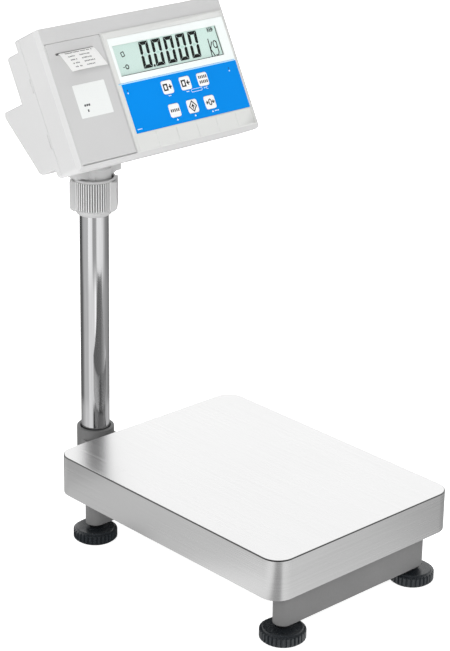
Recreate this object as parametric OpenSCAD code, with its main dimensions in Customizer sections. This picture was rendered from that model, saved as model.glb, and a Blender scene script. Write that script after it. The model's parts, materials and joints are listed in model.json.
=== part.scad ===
// Bench scale: a weighing platform on four levelling feet, with a pole behind it
// that carries a tilting, swivelling indicator with a keypad and a label printer.
// The bench is at z = 0, the user stands at -Y, and the pole is at +Y.

/* [Platform] */
// Width of the weighing pan, side to side
pan_w = 300; // [290:5:330]
// Depth of the weighing pan, front to back
pan_d = 400; // [390:5:440]
// Height of the pan's top face above the bench
pan_top = 120; // [120:1:130]
// Depth of the pan's folded skirt
skirt = 52; // [46:1:54]
// Diameter of a foot wheel
foot_dia = 56; // [50:1:60]

/* [Pole] */
// Outer diameter of the pole
pole_dia = 38; // [34:0.5:38]
// Distance from the pan's rear edge to the pole's axis
pole_gap = 103; // [95:1:125]
// Height of the top of the collar nut above the bench
collar_top = 429; // [380:1:520]

/* [Indicator] */
// Lean of the indicator's face, back from upright, in degrees
face_lean = 28; // [22:1:32]
// Width of the indicator
head_w = 297; // [297:1:305]
// Diameter of a full paper roll
roll_dia = 46; // [30:1:48]
// Travel of a key
key_travel = 0.7; // [0.4:0.1:0.7]

/* [Hidden] */
$fn = 64;
gap = 0.4;

// Platform: sheet, beams and load cell
sheet = 1.5;
pan_corner = 24;
beam_half = 12.5;
beam_wall = 3;
beam_top = 74;
beam_bottom = 21.5;
beam_inset_side = 39;
beam_inset_front = 27;
beam_inset_rear = 30;
spine_half = 30;
spine_bottom = 34;
spine_top = 66;
tube_wall = 3;
arm_half = 25;
cell_size = [34, 130, 26];
cell_z = 70;
frame_z = 100;
frame_h = 12;
bar_half = 14;
pad_r = 9;
pad_x = 105;
stop_x = 85;
cable_r = 2.5;
cable_bend = 10;
cable_high = cell_z + cell_size[2] / 2;
cable_low = 48;

// Pole and neck
pole_r = pole_dia / 2;
pole_wall = 1.5;
socket_r = 25;
socket_top = 80;
pole_foot = 30;
fit = 0.05;
pole_end = collar_top - 2;
neck_r = pole_r + 3.5;
nut_r = 27.6;
nut_teeth = 56;
nut_bottom = collar_top - 50.5;
flute_bottom = collar_top - 42;
wing_w = 61;
wing_t = 33;
wing_turn = -43;
nut_reach = 32.2;
plate_bottom = collar_top + 4.5;
plate_top = plate_bottom + 8;
plate_half = 38;
arm_t = 8;
pivot_r = 4;
knob_r = 14;

// Places along the depth of the scale: the outline is centred on y = 0
pan_y = -(pole_gap + nut_reach) / 2;
pole_y = pan_y + pan_d / 2 + pole_gap;
front_y = pan_y - pan_d / 2 + beam_inset_front;
rear_y = pan_y + pan_d / 2 - beam_inset_rear;
foot_x = pan_w / 2 - beam_inset_side;
cell_front = pan_y - cell_size[1] / 2;
cell_rear = pan_y + cell_size[1] / 2;
cable_drop = rear_y + beam_half + 7.5;

// Feet
foot_r = foot_dia / 2;
foot_teeth = 32;
sole_h = 2;
wheel_top = 16;
stud_r = 5;
stud_top = 62;

// Indicator, in its own frame: x across, y behind the face, z up along the face,
// with z = 0 at the face's top edge
face_h = 170;
wall = 2.5;
front_depth = 45;
edge_cut = 5;
rear_half = head_w / 2 - 4;
pivot_back = 115;
pivot_down = 127;
box_top = 13;
box_back = 76;
step_down = 71;
ledge_back = 114;
heel_back = 117.5;
heel_down = 77;
toe_back = 84.5;
toe_down = 157;
base_down = 160.5;
slant = atan((heel_back - toe_back) / (toe_down - heel_down));
bracket_reach = (pivot_back - heel_back) * cos(slant) + (pivot_down - heel_down) * sin(slant);
pivot_y = pole_y - 30;
pivot_z = collar_top + 61;

// Display and keypad
bezel_left = -56;
bezel_right = 142;
bezel_top = 19;
bezel_proud = 2;
overlay_left = -50;
overlay_right = 138;
overlay_top = 28;
overlay_split = 85.8;
overlay_bottom = 147.5;
window_left = -45.7;
window_right = 124;
window_top = 37.5;
window_bottom = 76;
key_w = 17;
key_r = 3;
key_x = [18, 47.5, 76.5];
key_v = [100.4, 130.3];
key_proud = 0.4;
strip_pitch = 32.8;

// Printer bay
cover_left = -141;
cover_right = -57.6;
cover_top = 19.7;
cover_t = 3;
hinge_down = 166;
hinge_back = 3.5;
hinge_pin_r = 1.5;
slot_down = 33.6;
paper_left = -127;
paper_w = 54;
paper_t = 0.4;
paper_angle = 33;
roll_down = 92;
roll_back = 41;
roll_w = 57;
platen_r = 6;
platen_down = 42;
platen_back = 14;
bay_left = -131;
bay_right = -69;

// ---------- shared shapes ----------

// Box with its lowest corner at a point
module block(from, to) {
    translate(from)
        cube([for (i = [0:2]) to[i] - from[i]]);
}

// Rounded rectangle, centred, extruded upwards
module rounded_plate(size, r, h) {
    linear_extrude(h) {
        square([size[0] - 2 * r, size[1]], center = true);
        square([size[0], size[1] - 2 * r], center = true);
        for (sx = [-1, 1], sy = [-1, 1])
            translate([sx * (size[0] / 2 - r), sy * (size[1] / 2 - r)])
                circle(r);
    }
}

// Bar along x with half-round ends
module round_bar(half_l, r, z0, z1) {
    translate([0, 0, z0])
        linear_extrude(z1 - z0) {
            square([2 * half_l, 2 * r], center = true);
            for (s = [-1, 1])
                translate([s * half_l, 0])
                    circle(r);
        }
}

// Cylinder along x between two places
module rod_x(r, x0, x1) {
    translate([x0, 0, 0])
        rotate([0, 90, 0])
            cylinder(r = r, h = x1 - x0);
}

// Outline of a fluted wheel: flat lands with straight-sided grooves between them
module fluted(r, depth, teeth) {
    step = 360 / teeth;
    polygon([
        for (i = [0:teeth - 1], k = [[0.0, 0], [0.5, 0], [0.65, depth], [0.85, depth]])
            let (a = (i + k[0]) * step)
                (r - k[1]) * [cos(a), sin(a)]
    ]);
}

// Moves what is drawn in the indicator's frame to its place above the pole
module on_head() {
    translate([0, pivot_y, pivot_z])
        rotate([-face_lean, 0, 0])
            translate([0, -pivot_back, pivot_down])
                children();
}

// Box in the indicator's frame, given across, back from the face and down it
module head_block(x, back, down) {
    block([x[0], back[0], -down[1]], [x[1], back[1], -down[0]]);
}

// The rear slope's frame: y away from the slope, z up along it, origin at the pivot
module on_slope() {
    on_head()
        translate([0, pivot_back, -pivot_down])
            rotate([-slant, 0, 0])
                children();
}

// ---------- base ----------

module cross_beam(y) {
    color("dimgray")
        translate([0, y, 0])
            difference() {
                round_bar(foot_x, beam_half, beam_bottom, beam_top);
                round_bar(foot_x - 32, beam_half - beam_wall, beam_bottom - 1, beam_top - beam_wall);
                for (s = [-1, 1])
                    translate([s * foot_x, 0, beam_bottom - 1])
                        cylinder(r = stud_r + fit, h = stud_top - beam_bottom + 5);
            }
}

module front_beam() {
    cross_beam(front_y);
}

module rear_beam() {
    cross_beam(rear_y);
}

module spine() {
    color("gray")
        difference() {
            union() {
                block([-spine_half, front_y + beam_half, spine_bottom],
                    [spine_half, rear_y - beam_half, spine_top]);
                block([-cell_size[0] / 2, cell_rear - 28, spine_top],
                    [cell_size[0] / 2, cell_rear, cell_z]);
            }
            block([-spine_half + tube_wall, front_y, spine_bottom + tube_wall],
                [spine_half - tube_wall, rear_y, spine_top - tube_wall]);
            for (dy = [6, 22])
                translate([0, cell_rear - dy, spine_top - 10])
                    cylinder(r = 3, h = 20);
        }
}

module pole_arm() {
    color("gray")
        difference() {
            block([-arm_half, rear_y + beam_half, spine_bottom], [arm_half, pole_y, spine_top]);
            block([-arm_half + tube_wall, rear_y, spine_bottom + tube_wall],
                [arm_half - tube_wall, pole_y + 1, spine_top - tube_wall]);
            translate([0, pole_y, 0])
                cylinder(r = socket_r, h = 100);
            translate([0, cable_drop, spine_top - 5])
                cylinder(r = 4.5, h = 10);
        }
}

module pole_socket() {
    color("#5c5e60")
        translate([0, pole_y, 0])
            difference() {
                rotate_extrude()
                    polygon([[0, beam_bottom], [socket_r - 2, beam_bottom], [socket_r, beam_bottom + 2],
                        [socket_r, socket_top - 1.5], [socket_r - 1.5, socket_top], [0, socket_top]]);
                translate([0, 0, pole_foot])
                    cylinder(r = pole_r, h = 60);
                translate([0, 0, socket_top - 5])
                    cylinder(r = pole_r + 1.6, h = 10);
                translate([0, 0, cable_low])
                    rotate([90, 0, 0])
                        cylinder(r = 5, h = 40);
                for (z = [45, 64])
                    translate([0, 0, z])
                        rotate([-90, 0, 0])
                            cylinder(r = 3, h = 40);
            }
}

module socket_screws() {
    color("#303030")
        for (z = [45, 64])
            translate([0, pole_y + pole_r, z])
                rotate([-90, 0, 0])
                    difference() {
                        cylinder(r = 3, h = 5);
                        translate([0, 0, 2.5])
                            cylinder(r = 1.7, h = 5, $fn = 6);
                    }
}

module pole() {
    color("silver")
        translate([0, pole_y, 0])
            difference() {
                translate([0, 0, pole_foot])
                    cylinder(r = pole_r, h = pole_end - pole_foot);
                translate([0, 0, pole_foot - 1])
                    cylinder(r = pole_r - pole_wall, h = pole_end);
                translate([0, 0, cable_low])
                    rotate([90, 0, 0])
                        cylinder(r = 5, h = 40);
            }
}

module foot_lock_nuts() {
    color("#3a3c3e")
        for (x = [-foot_x, foot_x], y = [front_y, rear_y])
            translate([x, y, beam_bottom - 4.9])
                difference() {
                    cylinder(r = 9.2, h = 4.9, $fn = 6);
                    translate([0, 0, -1])
                        cylinder(r = stud_r + fit, h = 8);
                }
}

module load_cell() {
    web = cell_size[1] / 2;
    color("gainsboro")
        translate([0, pan_y, cell_z])
            difference() {
                translate([-cell_size[0] / 2, -web, 0])
                    cube(cell_size);
                for (s = [-1, 1])
                    translate([0, s * 14, cell_size[2] / 2])
                        rod_x(9, -20, 20);
                block([-20, -14, cell_size[2] / 2 - 2], [20, 14, cell_size[2] / 2 + 2]);
                for (dy = [6, 22]) {
                    translate([0, web - dy, -1])
                        cylinder(r = 3, h = 14);
                    translate([0, dy - web, cell_size[2] - 13])
                        cylinder(r = 3, h = 20);
                }
            }
}

module cell_bolts() {
    color("#2f3133")
        for (dy = [6, 22]) {
            translate([0, cell_rear - dy, spine_top - tube_wall]) {
                cylinder(r = 3, h = 19);
                translate([0, 0, -6])
                    cylinder(r = 5, h = 6);
            }
            translate([0, cell_front + dy, frame_z + 4 - 17]) {
                cylinder(r = 3, h = 17);
                translate([0, 0, 17])
                    cylinder(r = 5, h = 6);
            }
        }
}

module load_frame() {
    color("lightgray")
        difference() {
            union() {
                block([-40, pan_y - 95, frame_z], [40, pan_y + 95, frame_z + 4]);
                for (s = [-1, 1])
                    block([s * 34 - 6, front_y, frame_z], [s * 34 + 6, rear_y, frame_z + frame_h]);
                for (y = [front_y, rear_y])
                    block([-118, y - bar_half, frame_z], [118, y + bar_half, frame_z + frame_h]);
                block([-cell_size[0] / 2, cell_front, frame_z - 4],
                    [cell_size[0] / 2, cell_front + 28, frame_z]);
            }
            for (dy = [6, 22])
                translate([0, cell_front + dy, frame_z - 10])
                    cylinder(r = 3, h = 20);
        }
}

module pan_pads() {
    color("#202224")
        for (x = [-pad_x, pad_x], y = [front_y, rear_y])
            translate([x, y, frame_z + frame_h])
                cylinder(r = pad_r, h = pan_top - sheet - frame_z - frame_h);
}

module overload_stops() {
    color("#8a8c8e")
        for (x = [-stop_x, stop_x], y = [front_y, rear_y])
            translate([x, y, beam_top]) {
                cylinder(r = 3, h = frame_z - 1 - beam_top);
                cylinder(r = 5.8, h = 5, $fn = 6);
            }
}

module level_housing() {
    color("#2b2d2f")
        translate([18, rear_y - 40, spine_top])
            difference() {
                cylinder(r = 9, h = 9);
                translate([0, 0, 3])
                    cylinder(r = 6.5, h = 10);
            }
}

module level_vial() {
    color("yellowgreen")
        translate([18, rear_y - 40, spine_top + 3])
            cylinder(r = 6.5, h = 6.5);
}

// Quarter bend of the cable in the plane across x, from start along y or z
module cable_elbow(y, z, from) {
    translate([0, y, z])
        rotate([90, 0, 90])
            rotate_extrude(angle = 90, start = from)
                translate([cable_bend, 0])
                    circle(cable_r);
}

module load_cell_cable() {
    b = cable_bend;
    color("#303234") {
        translate([0, cell_rear, cable_high])
            rotate([-90, 0, 0])
                cylinder(r = cable_r, h = cable_drop - b - cell_rear);
        cable_elbow(cable_drop - b, cable_high - b, 0);
        translate([0, cable_drop, cable_low + b])
            cylinder(r = cable_r, h = cable_high - cable_low - 2 * b);
        cable_elbow(cable_drop + b, cable_low + b, 180);
        translate([0, cable_drop + b, cable_low])
            rotate([-90, 0, 0])
                cylinder(r = cable_r, h = pole_y - cable_drop - 2 * b);
        cable_elbow(pole_y - b, cable_low + b, 270);
        translate([0, pole_y, cable_low + b])
            cylinder(r = cable_r, h = pole_end - 4 - cable_low - b);
    }
}

module pan() {
    color("whitesmoke")
        translate([0, pan_y, pan_top - skirt])
            difference() {
                rounded_plate([pan_w, pan_d], pan_corner, skirt);
                translate([0, 0, -1])
                    rounded_plate([pan_w - 2 * sheet, pan_d - 2 * sheet], pan_corner - sheet,
                        skirt - sheet + 1);
            }
}

// ---------- feet ----------

// The four feet, front left first
function foot_at(i) = [(i % 2 == 0 ? -1 : 1) * foot_x, i < 2 ? front_y : rear_y, 0];

module foot_sole(i) {
    color("#1b1c1e")
        translate(foot_at(i))
            cylinder(r = foot_r - 3, h = sole_h);
}

module foot_wheel(i) {
    color("#26292d")
        translate(foot_at(i))
            difference() {
                union() {
                    translate([0, 0, sole_h])
                        linear_extrude(11)
                            fluted(foot_r, 1.4, foot_teeth);
                    rotate_extrude()
                        polygon([[0, 4], [foot_r - 1.6, 4], [foot_r - 1.6, 13], [foot_r - 3, 14.4],
                            [foot_r - 6.5, 14.8], [foot_r - 6.5, wheel_top], [foot_r - 8.5, wheel_top],
                            [foot_r - 9.5, 15], [0, 15]]);
                }
                translate([0, 0, 4])
                    cylinder(r = stud_r, h = 20);
            }
}

module foot_stud(i) {
    color("silver")
        translate(foot_at(i) + [0, 0, 4])
            cylinder(r = stud_r, h = stud_top - 4);
}

module foot_sole_fl() { foot_sole(0); }
module foot_sole_fr() { foot_sole(1); }
module foot_sole_rl() { foot_sole(2); }
module foot_sole_rr() { foot_sole(3); }
module foot_wheel_fl() { foot_wheel(0); }
module foot_wheel_fr() { foot_wheel(1); }
module foot_wheel_rl() { foot_wheel(2); }
module foot_wheel_rr() { foot_wheel(3); }
module foot_stud_fl() { foot_stud(0); }
module foot_stud_fr() { foot_stud(1); }
module foot_stud_rl() { foot_stud(2); }
module foot_stud_rr() { foot_stud(3); }

// ---------- neck, collar and tilt joint ----------

// One yoke arm's outline, in the plane across x: y behind the pole's axis, z up
module yoke_outline() {
    foot_c = [2.5, plate_top];
    eye = [pivot_y - pole_y, pivot_z];
    dir = (eye - foot_c) / norm(eye - foot_c);
    side = [dir[1], -dir[0]];
    polygon([[-12, plate_top], [17, plate_top], eye + 11 * side, eye - 11 * side]);
    translate(eye)
        circle(11);
}

module neck() {
    color("#a9abad")
        difference() {
            translate([0, pole_y, 0]) {
                translate([0, 0, collar_top - 37])
                    cylinder(r = neck_r, h = plate_top - collar_top + 37);
                translate([0, 2, plate_bottom])
                    rounded_plate([2 * plate_half, 30], 6, plate_top - plate_bottom);
                intersection() {
                    translate([0, 0, plate_bottom - 4])
                        cylinder(r1 = neck_r, r2 = neck_r + 8, h = 4);
                    block([-40, -13, 0], [40, 17, plate_top]);
                }
                for (x = [-plate_half, plate_half - arm_t])
                    translate([x, 0, 0])
                        rotate([90, 0, 90])
                            linear_extrude(arm_t)
                                yoke_outline();
            }
            translate([0, pole_y, 0]) {
                cylinder(r = pole_r + fit, h = pole_end + 1);
                cylinder(r = 6, h = plate_top + 1);
            }
            translate([0, pivot_y, pivot_z])
                rod_x(pivot_r, -50, 50);
        }
}

module friction_ring() {
    color("gainsboro")
        translate([0, pole_y, collar_top - 16])
            difference() {
                cylinder(r = neck_r + 2.6, h = 15.5);
                translate([0, 0, -1])
                    cylinder(r = neck_r, h = 20);
            }
}

module tilt_bolt() {
    color("silver")
        translate([0, pivot_y, pivot_z])
            rod_x(pivot_r, -plate_half - 14, plate_half + 14);
}

module collar_nut() {
    core_r = nut_r - 1.3;
    color("#c9cbcc")
        translate([0, pole_y, 0])
            difference() {
                union() {
                    translate([0, 0, flute_bottom])
                        linear_extrude(collar_top - 2.6 - flute_bottom)
                            fluted(nut_r, 1, nut_teeth);
                    rotate_extrude()
                        polygon([[0, nut_bottom], [20.5, nut_bottom], [22.5, nut_bottom + 1.5],
                            [23.8, nut_bottom + 4.5], [24, flute_bottom + 1], [core_r, flute_bottom + 1],
                            [core_r, collar_top - 3.4], [nut_r + 0.6, collar_top - 3],
                            [nut_r + 0.6, collar_top - 0.8], [nut_r - 0.2, collar_top], [0, collar_top]]);
                    rotate([0, 0, wing_turn])
                        translate([0, 0, flute_bottom + 1.5])
                            rounded_plate([wing_w, wing_t], 1.5, collar_top - 5.5 - flute_bottom);
                }
                cylinder(r = pole_r + gap, h = collar_top + 1);
                translate([0, 0, nut_bottom + 6])
                    cylinder(r = neck_r + 0.5, h = 60);
                translate([0, 0, collar_top - 17])
                    cylinder(r = neck_r + 3.1, h = 60);
            }
}

module tilt_knob(s) {
    color("#2a2c2e")
        translate([0, pivot_y, pivot_z])
            mirror([s < 0 ? 1 : 0, 0, 0])
                difference() {
                    union() {
                        rod_x(knob_r - 3.5, plate_half + 0.4, plate_half + 15.5);
                        for (a = [0:60:300])
                            rotate([a, 0, 0])
                                translate([0, knob_r - 3.5, 0])
                                    rod_x(3.5, plate_half + 3, plate_half + 13);
                    }
                    rod_x(pivot_r + fit, plate_half - 1, plate_half + 14.2);
                }
}

module tilt_knob_left() {
    tilt_knob(-1);
}

module tilt_knob_right() {
    tilt_knob(1);
}

module head_bracket() {
    ear = plate_half - arm_t - gap;
    color("#8f9294")
        on_slope()
            difference() {
                union() {
                    block([-ear, -bracket_reach, -22], [ear, -bracket_reach + 3, 22]);
                    for (x = [-ear, ear - 4]) {
                        block([x, -bracket_reach, -10], [x + 4, 0, 10]);
                        rod_x(10, x, x + 4);
                    }
                }
                rod_x(pivot_r + fit, -ear - 1, ear + 1);
                bracket_screw_places()
                    cylinder(r = 2, h = 30);
            }
}

// Four screws of the bracket, pointing into the rear shell
module bracket_screw_places() {
    for (x = [-16, 16], z = [-16, 16])
        translate([x, -bracket_reach + 20, z])
            rotate([90, 0, 0])
                children();
}

// Four screws of the shells, pointing forwards through the front shell's rear rim
module shell_screw_places() {
    for (x = [-118, 118], down = [7, 166.5])
        translate([x, front_depth, -down])
            rotate([90, 0, 0])
                children();
}

// Screw with a domed head above z = 0 and its shank below
module pan_screw(r, length) {
    mirror([0, 0, 1])
        rotate_extrude()
            polygon([[0, 0], [1.6, 0], [1.6, 0.01], [1.9 * r, 0.01], [1.9 * r, 1], [1.4 * r, 1.9], [0, 1.9]]);
    cylinder(r = r, h = length);
}

module head_screws() {
    color("#3c3e40") {
        on_slope()
            bracket_screw_places()
                translate([0, 0, 17])
                    pan_screw(2, 9);
        on_head()
            shell_screw_places()
                pan_screw(2, 9);
    }
}

// ---------- indicator ----------

// Side outline of the front shell, set in from the outside
module front_outline(i) {
    polygon([[i, -i], [front_depth - i, -i], [front_depth - i, -(face_h + 3 - i)],
        [edge_cut, -(face_h + 6 - i)], [i, -(face_h - i)]]);
}

// Plan outline of the front shell, set in from the outside
module front_plan(i) {
    half = head_w / 2 - i;
    polygon([[-half, front_depth - i], [-half, edge_cut], [-half + edge_cut, i],
        [half - edge_cut, i], [half, edge_cut], [half, front_depth - i]]);
}

module front_form(i) {
    intersection() {
        translate([-head_w, 0, 0])
            rotate([90, 0, 90])
                linear_extrude(2 * head_w)
                    front_outline(i);
        translate([0, 0, -200])
            linear_extrude(220)
                front_plan(i);
    }
}

module front_shell() {
    color("gainsboro")
        on_head()
            difference() {
                union() {
                    difference() {
                        front_form(0);
                        front_form(wall);
                    }
                    for (x = [cover_left - 3.5, cover_right + gap])
                        head_block([x, x + 3.1], [1, 8], [161, 171.5]);
                }
                // opening to the rear shell
                head_block([-rear_half + wall, rear_half - wall], [30, 60],
                    [box_top + wall, base_down - wall]);
                // openings behind the display and the keys
                head_block([window_left - 3, window_right + 5], [-1, 5], [34, 80]);
                head_block([key_x[0] - 13, key_x[2] + 13], [-1, 5], [87.5, 143.5]);
                // printer bay
                head_block([cover_left - gap, cover_right + gap], [-1, 12],
                    [cover_top - gap, hinge_down + hinge_back + gap]);
                translate([0, hinge_back, -hinge_down])
                    rod_x(hinge_pin_r, cover_left - 3, cover_right + 3);
                shell_screw_places()
                    cylinder(r = 2, h = 5);
            }
}

// Side outline of the rear shell, with its two steps
module rear_outline(i) {
    polygon([[front_depth - 1, -(box_top + i)], [box_back - i, -(box_top + i)],
        [box_back - i, -(step_down + i)], [ledge_back - 0.7 * i, -(step_down + i)],
        [heel_back - i, -(heel_down + 0.6 * i)], [toe_back - i, -(toe_down - 0.6 * i)],
        [toe_back - 4.5 - i, -(base_down - i)], [front_depth - 1, -(base_down - i)]]);
}

module rear_form(i) {
    translate([-rear_half + i, 0, 0])
        rotate([90, 0, 90])
            linear_extrude(2 * (rear_half - i))
                rear_outline(i);
}

// Places of the sockets on the rear face: across, half width, half height
port_rows = [[-38, 15.5, 6], [-2, 6.5, 6]];
round_ports = [[34, 5.5], [70, 8]];
port_down = 42;

module rear_shell() {
    color("gainsboro")
        on_head()
            difference() {
                rear_form(0);
                rear_form(wall);
                block([-200, 0, -300], [200, front_depth, 10]);
                for (p = port_rows)
                    head_block([p[0] - p[1], p[0] + p[1]], [box_back - 10, box_back + 10],
                        [port_down - p[2], port_down + p[2]]);
                for (p = round_ports)
                    translate([p[0], box_back - 10, -port_down])
                        rotate([-90, 0, 0])
                            cylinder(r = p[1], h = 20);
                translate([0, pivot_back, -pivot_down])
                    rotate([-slant, 0, 0])
                        bracket_screw_places()
                            cylinder(r = 2, h = 30);
            }
}

module display_bezel() {
    color("#e4e6e5")
        on_head()
            difference() {
                union() {
                    head_block([bezel_left, bezel_right], [-1, 0], [bezel_top, face_h]);
                    head_block([bezel_left + 1, bezel_right - 1], [-bezel_proud, 0],
                        [bezel_top + 1, face_h - 1]);
                }
                // shelf for the overlay
                head_block([overlay_left - 0.2, overlay_right + 0.2], [-5, -1],
                    [overlay_top - 0.2, overlay_bottom + 0.2]);
                head_block([window_left, window_right], [-5, 5], [window_top, window_bottom]);
                for (x = key_x, v = key_v)
                    head_block([x - 9.2, x + 9.2], [-5, 5], [v - 9.2, v + 9.2]);
                // fine grooves across the strip below the keypad
                for (i = [0:5])
                    head_block([bezel_left + 2 + i * strip_pitch, bezel_left + 2.8 + i * strip_pitch],
                        [-5, -1.2], [overlay_bottom + 2.5, face_h - 1]);
            }
}

module display_frame() {
    color("white")
        on_head()
            difference() {
                head_block([overlay_left, overlay_right], [-bezel_proud, -1], [overlay_top, overlay_split]);
                head_block([window_left, window_right], [-5, 5], [window_top, window_bottom]);
            }
}

module display_window() {
    color("#dff3ee")
        on_head()
            head_block([window_left, window_right], [-1.9, -0.9], [window_top, window_bottom]);
}

module lcd_panel() {
    color("#c9e6df")
        on_head()
            head_block([window_left - 1.5, window_right + 1.5], [0.2, 5],
                [window_top - 1.5, window_bottom + 1.5]);
}

module keypad_overlay() {
    color("dodgerblue")
        on_head()
            difference() {
                head_block([overlay_left, overlay_right], [-bezel_proud, -1],
                    [overlay_split, overlay_bottom]);
                for (x = key_x, v = key_v)
                    translate([x, 0, -v])
                        rotate([90, 0, 0])
                            rounded_plate([key_w + 0.7, key_w + 0.7], key_r + 0.35, 5);
            }
}

module key(i) {
    color("white")
        on_head()
            translate([key_x[i % 3], 0, -key_v[floor(i / 3)]]) {
                rotate([90, 0, 0])
                    rounded_plate([key_w, key_w], key_r, bezel_proud + key_proud);
                rotate([-90, 0, 0])
                    cylinder(r = 4, h = 3);
            }
}

module key_1() { key(0); }
module key_2() { key(1); }
module key_3() { key(2); }
module key_4() { key(3); }
module key_5() { key(4); }
module key_6() { key(5); }

module key_board() {
    color("seagreen")
        on_head() {
            head_block([key_x[0] - 14, key_x[2] + 14], [5, 6.6], [86, 145]);
            for (x = key_x, v = key_v)
                translate([x, 3 + key_travel + 0.2, -v])
                    rotate([-90, 0, 0])
                        cylinder(r = 6, h = 2 - key_travel - 0.2);
        }
}

module main_board() {
    color("darkgreen")
        on_head() {
            head_block([-46, 136], [16, 17.6], [22, 150]);
            for (c = [[-30, 40, 20], [10, 60, 14], [60, 36, 24], [100, 70, 12], [-20, 120, 16]])
                head_block([c[0], c[0] + c[2]], [17.6, 21], [c[1], c[1] + c[2]]);
        }
}

module battery() {
    color("#3d4045")
        on_head() {
            head_block([22, 122], [36, 82], [82, 148]);
            for (x = [34, 104])
                head_block([x, x + 5], [50, 52], [76, 82]);
        }
}

module rear_ports() {
    color("#4a4d50")
        on_head() {
            for (p = port_rows)
                head_block([p[0] - p[1], p[0] + p[1]], [box_back - 12, box_back + 1],
                    [port_down - p[2], port_down + p[2]]);
            for (p = round_ports)
                translate([p[0], box_back - 12, -port_down])
                    rotate([-90, 0, 0])
                        difference() {
                            cylinder(r = p[1], h = 13 + p[1] / 4);
                            translate([0, 0, 6])
                                cylinder(r = p[1] - 2, h = 20);
                        }
        }
}

// ---------- printer ----------

module printer_frame() {
    color("#505356")
        on_head()
            difference() {
                union() {
                    head_block([bay_left, bay_right], [10, 34], [22, 33]);
                    for (x = [bay_left, bay_right - 2])
                        head_block([x, x + 2], [8, 66], [22, 120]);
                    head_block([bay_left, bay_right], [64, 66], [40, 120]);
                    translate([0, roll_back, -roll_down])
                        rod_x(8, bay_left, bay_right);
                }
                translate([0, platen_back, -platen_down])
                    rod_x(2 + fit, bay_left - 1, bay_right + 1);
            }
}

module platen_roller() {
    color("#242628")
        on_head()
            translate([0, platen_back, -platen_down]) {
                rod_x(platen_r, bay_left + 3, bay_right - 3);
                rod_x(2, bay_left - 2, bay_right + 2);
            }
}

module paper_roll() {
    color("white")
        on_head()
            translate([0, roll_back, -roll_down])
                difference() {
                    rod_x(roll_dia / 2, bay_left + 2.5, bay_left + 2.5 + roll_w);
                    rod_x(8 + fit, bay_left, bay_right);
                }
}

module printer_cover() {
    color("gainsboro")
        on_head()
            difference() {
                union() {
                    head_block([cover_left, cover_right], [0, cover_t], [cover_top, hinge_down]);
                    translate([0, hinge_back, -hinge_down])
                        rod_x(hinge_back, cover_left, cover_right);
                }
                head_block([paper_left - 1.5, paper_left + paper_w + 1.5], [-1, cover_t + 1],
                    [slot_down - 5.8, slot_down + 1.5]);
                translate([0, hinge_back, -hinge_down])
                    rod_x(hinge_pin_r + fit, cover_left - 1, cover_right + 1);
            }
}

module cover_pin() {
    color("silver")
        on_head()
            translate([0, hinge_back, -hinge_down])
                rod_x(hinge_pin_r, cover_left - 3, cover_right + 3);
}

module paper_strip() {
    color("white")
        on_head()
            translate([paper_left, 0, -slot_down])
                rotate([-paper_angle, 0, 0])
                    translate([0, -paper_t / 2, -33])
                        cube([paper_w, paper_t, 39]);
}

// ---------- the assembly ----------

front_beam();
rear_beam();
spine();
pole_arm();
pole_socket();
socket_screws();
pole();
foot_lock_nuts();
load_cell();
cell_bolts();
load_frame();
pan_pads();
overload_stops();
level_housing();
level_vial();
load_cell_cable();
pan();
foot_sole_fl();
foot_sole_fr();
foot_sole_rl();
foot_sole_rr();
foot_wheel_fl();
foot_wheel_fr();
foot_wheel_rl();
foot_wheel_rr();
foot_stud_fl();
foot_stud_fr();
foot_stud_rl();
foot_stud_rr();
neck();
friction_ring();
tilt_bolt();
collar_nut();
tilt_knob_left();
tilt_knob_right();
head_bracket();
head_screws();
front_shell();
rear_shell();
display_bezel();
display_frame();
display_window();
lcd_panel();
keypad_overlay();
key_1();
key_2();
key_3();
key_4();
key_5();
key_6();
key_board();
main_board();
battery();
rear_ports();
printer_frame();
platen_roller();
paper_roll();
printer_cover();
cover_pin();
paper_strip();
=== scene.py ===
import json
import math
import random

import bmesh
import bpy
from mathutils import Matrix, Vector

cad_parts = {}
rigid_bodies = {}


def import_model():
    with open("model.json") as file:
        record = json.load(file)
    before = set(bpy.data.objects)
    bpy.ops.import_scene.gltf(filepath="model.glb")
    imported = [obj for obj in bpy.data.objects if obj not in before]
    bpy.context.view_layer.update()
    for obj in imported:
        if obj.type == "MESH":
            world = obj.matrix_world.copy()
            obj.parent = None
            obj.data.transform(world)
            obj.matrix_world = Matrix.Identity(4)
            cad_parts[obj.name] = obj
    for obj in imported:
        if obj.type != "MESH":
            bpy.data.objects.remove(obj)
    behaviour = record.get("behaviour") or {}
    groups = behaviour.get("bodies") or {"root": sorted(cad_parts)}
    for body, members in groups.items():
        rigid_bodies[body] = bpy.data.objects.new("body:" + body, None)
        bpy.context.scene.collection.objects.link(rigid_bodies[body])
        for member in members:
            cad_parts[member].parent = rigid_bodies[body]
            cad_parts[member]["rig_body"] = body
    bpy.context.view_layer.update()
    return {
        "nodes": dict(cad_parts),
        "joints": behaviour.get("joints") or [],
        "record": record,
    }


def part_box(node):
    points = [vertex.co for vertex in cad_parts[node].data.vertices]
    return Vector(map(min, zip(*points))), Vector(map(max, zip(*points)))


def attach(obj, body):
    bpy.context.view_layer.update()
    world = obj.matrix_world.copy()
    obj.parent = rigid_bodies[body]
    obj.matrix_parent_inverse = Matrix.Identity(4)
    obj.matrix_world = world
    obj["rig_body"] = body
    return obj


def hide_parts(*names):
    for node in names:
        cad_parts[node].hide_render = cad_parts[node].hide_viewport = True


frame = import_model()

# A bench scale: platform, pole and tilting indicator with a label printer.
# Shapes are drawn in millimetres and scaled to metres when an object is made.
MM = 0.001
NODES = frame["nodes"]
JOINTS = {joint["name"]: joint for joint in frame["joints"]}
rng = random.Random(7)


# ---------- places, all read from the frame ----------

def box_mm(node):
    """Lowest and highest corner of a node, in mm."""
    low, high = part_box(node)
    return low / MM, high / MM


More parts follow.
